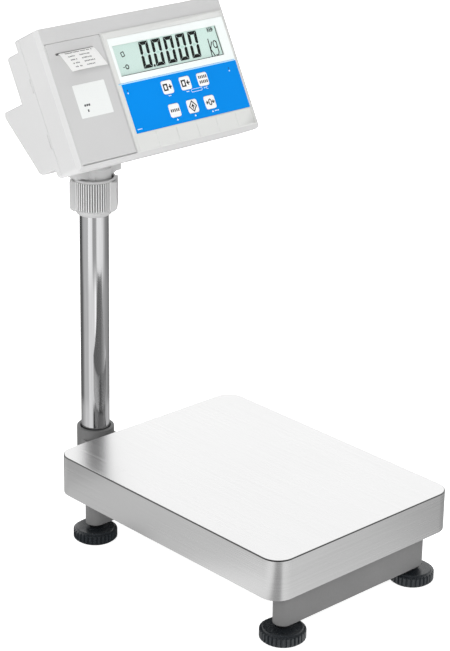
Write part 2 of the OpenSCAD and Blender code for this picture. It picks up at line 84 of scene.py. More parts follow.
def joint_mm(name):
    """Where a joint's axis passes, in mm."""
    return Vector(JOINTS[name]["pos_m"]) / MM


# The tilt pivot, behind the face and below its top edge
PIVOT_BACK, PIVOT_DOWN = 115, 127
inward = JOINTS["key_1_press"]["axis"]
LEAN = math.atan2(-inward[2], inward[1])
# The indicator's own frame: x across, y behind the face, z up along the face from its top edge
FACE = (
    Matrix.Translation(Vector(JOINTS["head_tilt"]["pos_m"]))
    @ Matrix.Rotation(-LEAN, 4, "X")
    @ Matrix.Translation(Vector((0, -PIVOT_BACK, PIVOT_DOWN)) * MM)
)
TO_FACE = FACE.inverted()
WORLD = Matrix.Identity(4)
POLE = joint_mm("head_swivel")


def face_box(node):
    """Lowest and highest corner of a node in the indicator's frame, in mm."""
    points = [TO_FACE @ v.co / MM for v in NODES[node].data.vertices]
    low = Vector([min(p[i] for p in points) for i in range(3)])
    high = Vector([max(p[i] for p in points) for i in range(3)])
    return low, high


# ---------- camera, light and floor ----------

CAMERA_AT = Vector((-1.6896, -1.8130, 1.2731))
CAMERA_AIM = Vector((-0.0263, -0.0429, 0.3127))
CAMERA_ROLL = math.radians(0.98)
CAMERA_LENS = 119.63
# How brightly the table lights itself, and the plain backdrop's brightness in view
FLOOR_GLOW = 0.8
BACKDROP = 1.05
# Direction from the camera to the far wall, and the wall's brightness from the camera's side to the far side
BEHIND = (0.685, 0.729, 0)
WALL_ROUND = ((0.0, 0.11), (0.2, 0.14), (0.42, 0.34), (0.7, 0.75), (0.9, 0.88))
# The wall's brightness from the horizon to the zenith
WALL_UP = ((0.0, 0.9), (0.35, 1.0), (0.66, 1.0), (0.8, 0.3), (0.95, 0.4))
WALL_STRENGTH = 1.6
# Painted reflection bands of the glowing card, in rings about the pole: (metres where it starts and is full,
# then (turn, grey) round it).
# Turn 0 is towards -X, a quarter is towards -Y.
CARD_RINGS = (
    (0, 0, ((0.0, 0.72), (0.08, 0.72), (0.105, 0.05), (0.27, 0.05), (0.32, 0.3), (0.45, 0.5), (0.62, 0.25),
            (0.8, 0.3), (0.93, 0.62))),
    (0.26, 0.3, ((0.0, 0.76), (0.1, 0.74), (0.13, 0.74), (0.15, 1.1), (0.165, 1.1), (0.178, 0.45),
                 (0.2, 0.45), (0.212, 0.98), (0.25, 0.84), (0.29, 0.72), (0.33, 0.42), (0.6, 0.15),
                 (0.83, 0.12), (0.9, 0.5))),
    (0.74, 0.9, ((0.0, 0.95), (0.08, 0.95), (0.11, 0.35), (0.17, 0.35), (0.2, 0.9), (0.32, 0.8), (0.4, 0.3),
                 (0.6, 0.08), (0.82, 0.1), (0.86, 0.42), (0.93, 0.5))),
)


def aimed(place, aim):
    """Matrix at a place that looks at another."""
    turn = (Vector(aim) - Vector(place)).to_track_quat("-Z", "Y").to_matrix().to_4x4()
    return Matrix.Translation(Vector(place)) @ turn


def make_camera():
    data = bpy.data.cameras.new("camera")
    data.lens = CAMERA_LENS
    data.sensor_fit = "AUTO"
    data.sensor_width = 36
    data.clip_start = 0.05
    data.clip_end = 60
    camera = bpy.data.objects.new("camera", data)
    bpy.context.scene.collection.objects.link(camera)
    camera.matrix_world = aimed(CAMERA_AT, CAMERA_AIM) @ Matrix.Rotation(CAMERA_ROLL, 4, "Z")
    bpy.context.scene.camera = camera


def area_light(name, place, aim, size, power):
    data = bpy.data.lights.new(name, "AREA")
    data.shape = "RECTANGLE"
    data.size, data.size_y = size
    data.energy = power
    light = bpy.data.objects.new(name, data)
    bpy.context.scene.collection.objects.link(light)
    light.matrix_world = aimed(place, aim)
    light.visible_glossy = False


def make_world():
    """Studio walls: a bright low band that is strongest behind the scale, a dim upper wall, a lit ceiling."""
    world = bpy.data.worlds.new("studio")
    bpy.context.scene.world = world
    world.use_nodes = True
    w = Nodes(world.node_tree)
    back = w.tree.nodes["Background"]
    way = w.add("ShaderNodeTexCoord").outputs["Generated"]
    toward = w.dot(way, BEHIND)
    part = w.add("ShaderNodeMath", {0: toward, 1: 0.5, 2: 0.5}, operation="MULTIPLY_ADD").outputs[0]
    wall, level = w.greys(part, WALL_ROUND), w.greys(w.parts(way)["Z"], WALL_UP)
    colour = w.add("ShaderNodeMix", {0: 1.0, 6: wall, 7: level}, data_type="RGBA", blend_type="MULTIPLY")
    w.link(colour.outputs[2], back.inputs["Color"])
    w.link(WALL_STRENGTH, back.inputs["Strength"])
    plain = w.add("ShaderNodeBackground", {"Color": (1, 1, 1, 1), "Strength": BACKDROP})
    seen = w.add("ShaderNodeLightPath").outputs["Is Camera Ray"]
    both = w.add("ShaderNodeMixShader", {0: seen, 1: back.outputs[0], 2: plain.outputs[0]})
    w.link(both.outputs[0], w.tree.nodes["World Output"].inputs["Surface"])


def make_reflection_card():
    """Glowing card seen only in reflections: painted reflections of grey and dark strips on the floor that a
    bare studio floor lacks.
    """
    bm = bmesh.new()
    loft(bm, [lift(circle(6000, 96), z, (POLE.x, POLE.y)) for z in (0.1, 0.3)])
    r = Recipe()
    r.material.name = "reflection_card"
    here = r.parts(r.place())
    x, y = here["X"], r.sums("SUBTRACT", here["Y"], POLE.y * MM)
    turn = r.sums("ADD", r.sums("DIVIDE", r.sums("ARCTAN2", y, x), math.tau), 0.5)
    distance = r.length(x, y)
    colour = r.greys(turn, CARD_RINGS[0][2])
    for start, full, stops in CARD_RINGS[1:]:
        colour = r.blend(r.span(distance, 0, 1, start, full), colour, r.greys(turn, stops))
    glow = r.add("ShaderNodeEmission", {"Color": colour, "Strength": 1.0})
    r.link(glow.outputs[0], r.tree.nodes["Material Output"].inputs["Surface"])
    r.tree.nodes.remove(r.shader)
    r.material.cycles.emission_sampling = "NONE"
    card = make("reflection_card", bm, r.material)
    for ray in ("camera", "diffuse", "transmission", "volume_scatter", "shadow"):
        setattr(card, "visible_" + ray, False)


def make_studio():
    bm = bmesh.new()
    loft(bm, [lift(circle(14000, 64), z) for z in (-20, -0.2)])
    top = table_top()
    top.name = "floor"
    make("floor", bm, top)
    make_world()
    make_reflection_card()
    area_light("overhead_light", (-0.2, -0.1, 3.2), (0, -0.05, 0), (3.0, 3.0), 22)
    area_light("key_light", (-2.5, -2.1, 1.9), (0, 0, 0.4), (1.2, 1.2), 60)
    bpy.context.scene.view_settings.view_transform = "Standard"


# ---------- node materials ----------

class Nodes:
    """A node tree, with short calls for the patterns that the finishes share."""

    def __init__(self, tree):
        self.tree = tree

    def link(self, value, socket):
        """Joins a node's output to a socket, or gives the socket a plain value."""
        if isinstance(value, bpy.types.NodeSocket):
            self.tree.links.new(value, socket)
        else:
            socket.default_value = value

    def add(self, kind, values=None, **settings):
        node = self.tree.nodes.new(kind)
        for key, value in settings.items():
            setattr(node, key, value)
        for key, value in (values or {}).items():
            self.link(value, node.inputs[key])
        return node

    def place(self, stretch=(1, 1, 1)):
        """Position on the piece, in metres, stretched along its axes."""
        here = self.add("ShaderNodeTexCoord").outputs["Object"]
        return self.add("ShaderNodeMapping", {"Vector": here, "Scale": stretch}).outputs["Vector"]

    def parts(self, vector):
        """The X, Y and Z outputs of a vector."""
        return self.add("ShaderNodeSeparateXYZ", {"Vector": vector}).outputs

    def noise(self, scale, stretch=(1, 1, 1), detail=3.0):
        values = {"Vector": self.place(stretch), "Scale": scale, "Detail": detail}
        return self.add("ShaderNodeTexNoise", values).outputs["Fac"]

    def sums(self, operation, first, second):
        return self.add("ShaderNodeMath", {0: first, 1: second}, operation=operation).outputs[0]

    def share(self, first, second, part):
        """The sum of one part of first and the rest of second."""
        return self.sums("ADD", self.sums("MULTIPLY", first, part), self.sums("MULTIPLY", second, 1 - part))

    def length(self, x, y):
        square = self.sums("ADD", self.sums("MULTIPLY", x, x), self.sums("MULTIPLY", y, y))
        return self.sums("POWER", square, 0.5)

    def dot(self, first, second):
        product = self.add("ShaderNodeVectorMath", {0: first, 1: second}, operation="DOT_PRODUCT")
        return product.outputs["Value"]

    def span(self, value, low, high, start=0.3, end=0.7):
        """Carries value, between start and end, over to a number between low and high."""
        values = {"Value": value, "From Min": start, "From Max": end, "To Min": low, "To Max": high}
        return self.add("ShaderNodeMapRange", values).outputs["Result"]

    def tones(self, value, stops):
        """Colour ramp: stops are (place, colour)."""
        ramp = self.add("ShaderNodeValToRGB", {"Fac": value})
        elements = ramp.color_ramp.elements
        while len(elements) < len(stops):
            elements.new(0.5)
        for element, (where, colour) in zip(elements, stops):
            element.position = where
            element.color = (*colour, 1)
        return ramp.outputs["Color"]

    def greys(self, value, stops):
        return self.tones(value, [(where, (grey,) * 3) for where, grey in stops])

    def shades(self, value, colour, low, high, start=0.3, end=0.7):
        """Ramp from low times to high times a colour."""
        return self.tones(value, [(start, shade(colour, low)), (end, shade(colour, high))])

    def blend(self, amount, under, over):
        return self.add("ShaderNodeMix", {0: amount, 6: under, 7: over}, data_type="RGBA").outputs[2]

    def bump(self, height, strength, distance, under=None):
        values = {"Height": height, "Strength": strength, "Distance": distance}
        if under is not None:
            values["Normal"] = under
        return self.add("ShaderNodeBump", values).outputs["Normal"]


class Recipe(Nodes):
    """A material that is being made, or one that gets more nodes."""

    def __init__(self, material=None):
        self.material = material or bpy.data.materials.new("finish")
        self.material.use_nodes = True
        super().__init__(self.material.node_tree)
        self.shader = self.tree.nodes["Principled BSDF"]

    def wire(self, socket, value):
        self.link(value, self.shader.inputs[socket])

    def finish(self, colour, rough, normal=None, metallic=None):
        sockets = ("Base Color", "Roughness", "Normal", "Metallic")
        for socket, value in zip(sockets, (colour, rough, normal, metallic)):
            if value is not None:
                self.wire(socket, value)
        return self.material


def shade(colour, factor):
    return tuple(min(1, c * factor) for c in colour)


def srgb(text):
    """Linear colour of a hexadecimal screen colour."""
    parts = [int(text[i:i + 2], 16) / 255 for i in (0, 2, 4)]
    return tuple(c / 12.92 if c <= 0.04045 else ((c + 0.055) / 1.055) ** 2.4 for c in parts)


def plastic(colour, rough=0.45, grain=1500, relief=0.12, mottle=0.05, edge=None):
    """Moulded plastic: broad tone, grain and uneven gloss; edge paints a highlight on chamfers whose normal
    faces that way.
    """
    r = Recipe()
    fine = r.noise(grain, detail=2)
    body = r.shades(r.share(r.noise(9, detail=2), fine, 0.75), colour, 1 - mottle, 1 + mottle)
    # painted highlight on faces turned along edge, in the piece's own axes
    if edge:
        facing = r.add("ShaderNodeTexCoord").outputs["Normal"]
        either = r.add("ShaderNodeVectorMath", {0: facing}, operation="ABSOLUTE").outputs["Vector"]
        body = r.blend(r.span(r.dot(either, edge), 0, 1, 0.96, 0.99), body, shade(colour, 1.1) + (1,))
    return r.finish(body, r.span(r.noise(70), rough - 0.07, rough + 0.07), r.bump(fine, relief, 0.0003))


def fluted_plastic(colour):
    """The collar's plastic: painted shade deep between its flutes and a painted highlight on their lands."""
    r = Recipe(plastic(colour, 0.4, mottle=0.04))
    here = r.parts(r.place())
    axis = joint_mm("head_swivel") * MM
    out = r.length(r.sums("SUBTRACT", here["X"], axis.x), r.sums("SUBTRACT", here["Y"], axis.y))
    top = box_mm("collar_nut")[1].z * MM
    below_rim = r.span(here["Z"], 1, 0, top - 0.0045, top - 0.0035)
    above_cone = r.span(here["Z"], 0, 1, top - 0.0425, top - 0.0405)
    fluted = r.sums("MULTIPLY", below_rim, above_cone)
    # painted shade in the grooves and a painted highlight on the lands, only over the fluted band
    deep = r.span(out, 1, 0, 0.0258, 0.0273)
    land_highlight = r.sums("MULTIPLY", r.span(out, 0, 1, 0.0272, 0.0275), r.span(out, 1, 0, 0.0277, 0.0279))
    body = r.shader.inputs["Base Color"].links[0].from_socket
    for part, tone in ((deep, 0.55), (land_highlight, 1.5)):
        body = r.blend(r.sums("MULTIPLY", part, fluted), body, shade(colour, tone) + (1,))
    r.wire("Base Color", body)
    return r.material


def paint(colour, rough=0.5):
    """Powder coat: orange peel under a fine speckle."""
    r = Recipe()
    peel, speck = r.noise(420, detail=1), r.noise(2600, detail=2)
    body = r.shades(r.share(speck, r.noise(11), 0.5), colour, 0.86, 1.12, 0.34, 0.66)
    relief = r.bump(speck, 0.08, 0.0002, r.bump(peel, 0.14, 0.0005))
    return r.finish(body, r.span(peel, rough - 0.08, rough + 0.1), relief)


def metal(colour, rough=0.3, lines=(60, 60, 60), relief=0.05):
    """Bare metal with draw or grinding lines; lines stretches the pattern along each axis."""
    r = Recipe()
    streak = r.noise(12, stretch=lines, detail=4)
    tone = r.share(streak, r.noise(18), 0.6)
    return r.finish(r.shades(tone, colour, 0.88, 1.08), r.span(tone, rough - 0.06, rough + 0.08),
                    r.bump(streak, relief, 0.0002), 1)


def brushed_sheet(colour, rough):
    """Brushed stainless sheet: lines run along the depth on top and along each fold on the skirts."""
    r = Recipe()
    on_top = r.noise(10, stretch=(90, 0.5, 1), detail=5)
    on_side = r.noise(10, stretch=(0.6, 0.6, 110), detail=5)
    upward = r.parts(r.add("ShaderNodeTexCoord").outputs["Normal"])["Z"]
    brushing = r.add("ShaderNodeMix", {0: r.span(upward, 0, 1, 0.6, 0.8), 2: on_side, 3: on_top}).outputs[0]
    tone = r.share(brushing, r.noise(7), 0.7)
    # painted dark reflection along the fold round the top, where the surface turns from the skirts to the top
    fold = r.greys(upward, ((0.2, 0), (0.45, 1), (0.9, 1), (0.985, 0)))
    steel = r.blend(fold, r.shades(tone, colour, 0.93, 1.04), shade(colour, 0.16) + (1,))
    return r.finish(steel, r.span(tone, rough - 0.04, rough + 0.06), r.bump(brushing, 0.035, 0.0002), 1)


def chrome():
    """Plated tube: mirror with faint polishing lines along it and a few soft smudges."""
    r = Recipe()
    polish = r.noise(40, stretch=(14, 14, 0.4))
    smudge = r.noise(16, stretch=(1, 1, 0.5), detail=4)
    plate = r.tones(polish, [(0.3, (0.80, 0.80, 0.81)), (0.7, (0.88, 0.88, 0.89))])
    return r.finish(plate, r.span(smudge, 0.05, 0.13, 0.4, 0.75), r.bump(polish, 0.015, 0.0003), 1)


def paper(colour, rough=0.75):
    r = Recipe()
    fibre = r.noise(900, stretch=(1, 2.5, 1), detail=4)
    return r.finish(r.shades(fibre, colour, 0.95, 1.03), r.span(fibre, rough - 0.05, rough + 0.08),
                    r.bump(fibre, 0.1, 0.0002))


def film(colour, rough=0.4, drift=0.05):
    """Printed polyester film: fine velvet texture under a soft sheen."""
    r = Recipe()
    velvet = r.noise(2400, detail=1)
    r.wire("Specular IOR Level", 0.06)
    return r.finish(r.shades(r.noise(10, detail=1), colour, 1 - drift, 1 + drift),
                    r.span(velvet, rough - 0.04, rough + 0.08), r.bump(velvet, 0.05, 0.0001))


def clear_window():
    """Clear pane over the display: faint wipe marks, mostly transparent."""
    r = Recipe()
    wipe = r.noise(30, stretch=(1, 1, 3))
    r.wire("Alpha", 0.004)
    r.wire("Specular IOR Level", 0.2)
    return r.finish(r.tones(wipe, [(0.3, (0.90, 0.94, 0.93)), (0.7, (0.97, 1.0, 0.99))]),
                    r.span(wipe, 0.03, 0.09))


def lcd_glass(colour):
    """Reflective display: pale green with the sparkle of its rear foil, darker to one side."""
    r = Recipe()
    sparkle = r.noise(3000, detail=2)
    drift = r.span(r.parts(r.place())["X"], 0.25, 0.75, -0.05, 0.12)
    tone = r.share(sparkle, drift, 0.3)
    return r.finish(r.shades(tone, colour, 0.93, 1.05, 0.25, 0.75), r.span(sparkle, 0.35, 0.5),
                    r.bump(sparkle, 0.04, 0.0001))


def circuit():
    """Green solder mask with copper runs under it."""
    r = Recipe()
    cells = r.add("ShaderNodeTexVoronoi", {"Vector": r.place(), "Scale": 260.0}, distance="MANHATTAN")
    runs = r.span(cells.outputs["Distance"], 0, 1, 0.2, 0.5)
    mask = r.tones(runs, [(0.2, (0.02, 0.13, 0.05)), (0.8, (0.01, 0.07, 0.03))])
    return r.finish(mask, r.span(r.noise(80), 0.28, 0.42), r.bump(runs, 0.15, 0.0002))


def table_top():
    """Matt white table, lit a little from below so that shadows stay soft."""
    r = Recipe()
    r.wire("Emission Color", (1, 1, 1, 1))
    r.wire("Emission Strength", FLOOR_GLOW)
    return r.finish(r.greys(r.noise(3), ((0.3, 0.90), (0.7, 0.93))), r.span(r.noise(40), 0.85, 0.95))


FINISH = {
    "frame_grey": paint(srgb("727272"), 0.45),
    "socket_grey": paint(srgb("6c6c6c"), 0.5),
    "chrome_tube": chrome(),
    "zinc_steel": metal((0.62, 0.64, 0.66), 0.28),
    "dark_screw": metal((0.10, 0.10, 0.105), 0.38),
    "cell_alloy": metal((0.72, 0.73, 0.74), 0.34, lines=(10, 120, 10)),
    "spider_alloy": metal((0.60, 0.61, 0.62), 0.42, relief=0.12),
    "pan_steel": brushed_sheet((0.66, 0.66, 0.66), 0.235),
    "pad_rubber": plastic((0.022, 0.022, 0.024), 0.75, grain=800, relief=0.3, mottle=0.2),
    "wheel_black": plastic(srgb("262a2e"), 0.27, grain=1300, relief=0.1, mottle=0.12),
    "level_black": plastic((0.03, 0.03, 0.032), 0.35),
    "level_fluid": plastic((0.35, 0.55, 0.06), 0.08, relief=0.0),
    "cable_jacket": plastic((0.03, 0.03, 0.032), 0.5),
    "collar_plastic": fluted_plastic(srgb("bebebe")),
    "neck_plastic": plastic(srgb("c4c4c4"), 0.42),
    "bracket_steel": paint(srgb("8f9294"), 0.45),
    # painted highlight on the shell's chamfers, half way between across and depth
    "shell_abs": plastic(srgb("cacaca"), 0.48, mottle=0.03, edge=(0.707, 0.707, 0)),
    "bezel_abs": plastic(srgb("dadbd9"), 0.42, mottle=0.025),
    "film_white": film(srgb("f3f8f7"), drift=0.02),
    "film_blue": film((0.0, 0.255, 0.80)),
    "key_white": plastic(srgb("f6f6f6"), 0.35, grain=2000, relief=0.06, mottle=0.02),
    "window_clear": clear_window(),
    "lcd_face": lcd_glass(srgb("cfe6df")),
    "board_green": circuit(),
    "battery_grey": plastic((0.05, 0.052, 0.058), 0.5, mottle=0.1),
    "port_dark": plastic((0.06, 0.062, 0.066), mottle=0.1),
    "printer_grey": plastic((0.085, 0.09, 0.095), 0.5, mottle=0.08),
    "paper_white": paper((0.93, 0.93, 0.92)),
}
# Finishes of pieces that stand for no CAD node
INK = {
    "lcd_black": film((0.012, 0.014, 0.013), 0.3, drift=0.15),
    "lcd_ghost": film(srgb("b9d6cf"), drift=0.03),
    "print_black": film((0.03, 0.03, 0.032), drift=0.15),
    "print_grey": paper((0.05, 0.05, 0.055), 0.7),
    "print_white": film(srgb("e8f2fb"), drift=0.02),
    "print_cyan": film(srgb("a9e2fb"), 0.35, drift=0.04),
    "print_blue": film(srgb("2a8fd8"), 0.35, drift=0.04),
    "label_white": paper((0.84, 0.86, 0.85), 0.55),
    "port_metal": metal((0.62, 0.63, 0.65)),
    "gold_pin": metal((0.75, 0.55, 0.25)),
}
for key, material in (FINISH | INK).items():
    material.name = key
SLOT_OF = {part["node"]: part["material_slot"] for part in frame["record"]["subparts"]}


# ---------- mesh tools; outlines are lists of (a, b) in mm ----------

def rounded_rect(width, depth, radius, steps=8):
    corners = ((1, 1, 0), (-1, 1, 90), (-1, -1, 180), (1, -1, 270))
    points = []
    for sx, sy, start in corners:
        for k in range(steps + 1):
            a = math.radians(start + 90 * k / steps)
            points.append((sx * (width / 2 - radius) + radius * math.cos(a),
                           sy * (depth / 2 - radius) + radius * math.sin(a)))
    return points


def stadium(half_length, radius, steps=20):
    """Slot outline: straight across, with a half round at each end."""
    points = []
    for sx, start in ((1, -90), (-1, 90)):
        for k in range(steps + 1):
            a = math.radians(start + 180 * k / steps)
            points.append((sx * half_length + radius * math.cos(a), radius * math.sin(a)))
    return points


def oval(x, y, across, tall, steps):
    """Ellipse about a point, from its half width and half height."""
    turns = [math.tau * k / steps for k in range(steps)]
    return [(x + across * math.cos(a), y + tall * math.sin(a)) for a in turns]


def circle(radius, steps=96):
    return oval(0, 0, radius, radius, steps)


def lift(outline, z, centre=(0, 0)):
    return [(a + centre[0], b + centre[1], z) for a, b in outline]


def loft(bm, rings, closed=False):
    """Skin over rings of equal length; the two end rings are capped unless the loft closes on itself."""
    rows = [[bm.verts.new(point) for point in ring] for ring in rings]
    for low, high in zip(rows, rows[1:] + rows[:1] if closed else rows[1:]):
        for i in range(len(low)):
            j = (i + 1) % len(low)
            bm.faces.new((low[i], low[j], high[j], high[i]))
    if not closed:
        bm.faces.new(rows[0][::-1])
        bm.faces.new(rows[-1])


def rim(size, steps=4):
    """Quarter round from the side to the top of an edge: (inset, rise) pairs."""
    turns = [math.pi / 2 * k / steps for k in range(steps + 1)]
    return [(size * (1 - math.cos(a)), size * math.sin(a)) for a in turns]


def pillow(bm, width, depth, radius, steps, bottom, top, low=0.0, high=0.0, centre=(0, 0)):
    """Block with round corners; low and high round its lower and upper edges."""
    lower = [(inset, bottom + low - rise) for inset, rise in reversed(rim(low))] if low else [(0, bottom)]
    upper = [(inset, top - high + rise) for inset, rise in rim(high)] if high else [(0, top)]
    loft(bm, [lift(rounded_rect(width - 2 * inset, depth - 2 * inset, radius - inset, steps), z, centre)
              for inset, z in lower + upper])


def turned(bm, profile, centre, steps=96, closed=False):
    """Turned solid round a vertical axis, from (radius, z); an open profile ends on flat caps."""
    loft(bm, [lift(circle(radius, steps), z, centre) for radius, z in profile], closed)


def prism_x(bm, outline, x0, x1):
    """Prism across x over an outline of (back, up)."""
    loft(bm, [[(x, a, b) for a, b in outline] for x in (x0, x1)])


def brick(bm, low, high):
    base = [(low[0], low[1]), (high[0], low[1]), (high[0], high[1]), (low[0], high[1])]
    loft(bm, [lift(base, z) for z in (low[2], high[2])])


def rod(bm, radius, start, end, steps=32):
    """Round bar between two points."""
    start, end = Vector(start), Vector(end)
    turn = (end - start).to_track_quat("Z", "Y").to_matrix()
    section = [turn @ Vector((a, b, 0)) for a, b in circle(radius, steps)]
    loft(bm, [[tuple(spot + point) for point in section] for spot in (start, end)])


class Print:
    """Flat print on the face between two depths, drawn in points of (across, down)."""

    def __init__(self, front, back):
        self.bm, self.front, self.back = bmesh.new(), front, back

    def tile(self, outline):
        loft(self.bm, [[(a, depth, -b) for a, b in outline] for depth in (self.back, self.front)])

    def box(self, left, top, wide, tall):
        right, bottom = left + wide, top + tall
        self.tile([(left, top), (right, top), (right, bottom), (left, bottom)])

    def row(self, count, pitch, left, top, wide, tall):
        for k in range(count):
            self.box(left + pitch * k, top, wide, tall)

    def stroke(self, points, width, closed=False):
        """Line of even width, mitred at its bends."""
        count = len(points)
        rows = []
        for i, here in enumerate(points):
            before = points[i - 1] if closed or i > 0 else here
            after = points[(i + 1) % count] if closed or i < count - 1 else here
            ins = Vector(here) - Vector(before)
            out = Vector(after) - Vector(here)
            ins = ins.normalized() if ins.length else out.normalized()
            out = out.normalized() if out.length else ins
            across = (Vector((-ins.y, ins.x)) + Vector((-out.y, out.x))).normalized()
            reach = width / 2 / max(0.4, across.dot(Vector((-ins.y, ins.x))))
            left, right = Vector(here) + across * reach, Vector(here) - across * reach
            sides = ((left, self.front), (right, self.front), (right, self.back), (left, self.back))
            rows.append([self.bm.verts.new((p.x, depth, -p.y)) for p, depth in sides])
        for i in range(count if closed else count - 1):
            low, high = rows[i], rows[(i + 1) % count]
            for k in range(4):
                self.bm.faces.new((low[k], low[(k + 1) % 4], high[(k + 1) % 4], high[k]))
        if not closed:
            self.bm.faces.new(rows[0][::-1])
            self.bm.faces.new(rows[-1])

    def put(self, name, ink, body="head"):
        """Stands the print on a body."""
        own(make(name, self.bm, INK[ink], FACE, 20), body)


def on_face(x, back, z, angle=90):
    """Place on the indicator whose own z points out of the face, or out of the back at -90."""
    return FACE @ Matrix.Translation(Vector((x, back, z)) * MM) @ Matrix.Rotation(math.radians(angle), 4, "X")


def make(name, bm, finish, place=WORLD, sharp=32):
    """Object from a mesh in mm, with smooth faces between its sharp edges."""
    bmesh.ops.scale(bm, vec=(MM, MM, MM), verts=bm.verts)
    bmesh.ops.recalc_face_normals(bm, faces=bm.faces)
    mesh = bpy.data.meshes.new(name)
    bm.to_mesh(mesh)
    bm.free()
    obj = bpy.data.objects.new(name, mesh)
    bpy.context.scene.collection.objects.link(obj)
    obj.matrix_world = place
    if finish is not None:
        mesh.materials.append(finish)
    smooth(obj, sharp)
    return obj


def smooth(obj, sharp=32):
    obj.data.shade_smooth()
    obj.data.set_sharp_from_angle(angle=math.radians(sharp))


def settle(obj):
    """Applies an object's modifiers."""
    bpy.context.view_layer.update()
    graph = bpy.context.evaluated_depsgraph_get()
    mesh = bpy.data.meshes.new_from_object(obj.evaluated_get(graph))
    obj.modifiers.clear()
    obj.data = mesh


def cut(obj, tool, operation="DIFFERENCE"):
    """Exact boolean of an object with another, which is used up."""
    modifier = obj.modifiers.new("cut", "BOOLEAN")
    modifier.object = tool
    modifier.operation = operation
    modifier.solver = "EXACT"
    settle(obj)
    bpy.data.objects.remove(tool)


def carve(obj, cutter, operation="DIFFERENCE"):
    """Exact boolean of an object with a cutter mesh in mm, in the same place."""
    cut(obj, make("cutter", cutter, None, obj.matrix_world.copy()), operation)
    smooth(obj)


def soften(obj, width, steps=3, angle=25):
    """Rounds every edge sharper than angle; width in mm."""
    bm = bmesh.new()
    bm.from_mesh(obj.data)
    bmesh.ops.remove_doubles(bm, verts=bm.verts, dist=2e-6)
    bmesh.ops.dissolve_limit(bm, angle_limit=math.radians(1), verts=bm.verts, edges=bm.edges)
    edges = [e for e in bm.edges if e.is_manifold and e.calc_face_angle(0) > math.radians(angle)]
    bmesh.ops.bevel(bm, geom=edges, offset=width * MM, offset_type="OFFSET", segments=steps,
                    profile=0.5, affect="EDGES", clamp_overlap=True)
    bm.to_mesh(obj.data)
    bm.free()
    smooth(obj)


def own(obj, body, *nodes, slot=None):
    """Rides a piece on a body; nodes are what it stands for."""
    even = obj.modifiers.new("even_shading", "WEIGHTED_NORMAL")
    even.keep_sharp = True
    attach(obj, body)
    if nodes:
        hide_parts(*nodes)
    return obj


def stand(obj, node):
    """Puts a piece in a CAD node's place, with that node's body."""
    return own(obj, NODES[node]["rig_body"], node, slot=SLOT_OF[node])


def finished(name, bm, node, sharp=32, place=WORLD):
    """A piece with a CAD node's finish, in that node's place."""
    return stand(make(name, bm, FINISH[SLOT_OF[node]], place, sharp), node)


def carry(node, width, steps=3):
    """Stands a copy of a CAD node's shape, with its edges rounded, in the node's place."""
    mesh = NODES[node].data.copy()
    mesh.attributes.remove(mesh.attributes["custom_normal"])
    obj = bpy.data.objects.new(node + "_body", mesh)
    bpy.context.scene.collection.objects.link(obj)
    mesh.materials.clear()
    mesh.materials.append(FINISH[SLOT_OF[node]])
    soften(obj, width, steps)
    return stand(obj, node)


# ---------- platform ----------

# (share of a tooth's pitch, share of the groove's depth)
WHEEL_TOOTH = ((0, 0), (0.28, 0), (0.56, 0), (0.63, 0.55), (0.7, 1), (0.86, 1), (0.93, 0.55))
COLLAR_TOOTH = ((0, 0), (0.14, 0), (0.32, 0), (0.4, 0.6), (0.48, 1), (0.82, 1), (0.92, 0.6))


def make_pan():
    low, high = box_mm("pan")
    centre = ((low.x + high.x) / 2, (low.y + high.y) / 2)
    corner, sheet, fold, hem = 24, 1.2, 1.8, 0.45

    def ring(inset, z):
        outline = rounded_rect(high.x - low.x - 2 * inset, high.y - low.y - 2 * inset, corner - inset, 12)
        return lift(outline, z, centre)

    rings = [ring(sheet + inset, high.z - fold + rise) for inset, rise in reversed(rim(fold - sheet))]
    rings += [ring(sheet, low.z + hem), ring(sheet - 0.2, low.z + 0.1), ring(sheet - hem, low.z)]
    rings += [ring(hem, low.z), ring(0.12, low.z + 0.12), ring(0, low.z + hem)]
    rings += [ring(inset, high.z - fold + rise) for inset, rise in rim(fold, 6)]
    bm = bmesh.new()
    loft(bm, rings)
    finished("pan_sheet", bm, "pan")


def make_beam(node):
    low, high = box_mm(node)
    radius = (high.y - low.y) / 2
    half = (high.x - low.x) / 2 - radius
    centre = ((low.x + high.x) / 2, (low.y + high.y) / 2)
    wall, boss, edge, foot = 3, 32, 1.6, 0.8

    def outer(inset, z):
        return lift(stadium(half, radius - inset), z, centre)

    rings = [lift(stadium(half - boss, radius - wall), z, centre) for z in (high.z - wall, low.z)]
    rings += [outer(inset, low.z + foot - rise) for inset, rise in reversed(rim(foot))]
    rings += [outer(inset, high.z - edge + rise) for inset, rise in rim(edge)]
    bm = bmesh.new()
    loft(bm, rings)
    finished(node + "_casting", bm, node)


def fluted_ring(radius, depth, teeth, z, centre, amount=1.0, pattern=WHEEL_TOOTH):
    """Ring with grooves between flat lands; amount fades the grooves out."""
    points = []
    for i in range(teeth):
        for share, dip in pattern:
            a = 2 * math.pi * (i + share) / teeth
            r = radius - depth * dip * amount
            points.append((centre[0] + r * math.cos(a), centre[1] + r * math.sin(a), z))
    return points


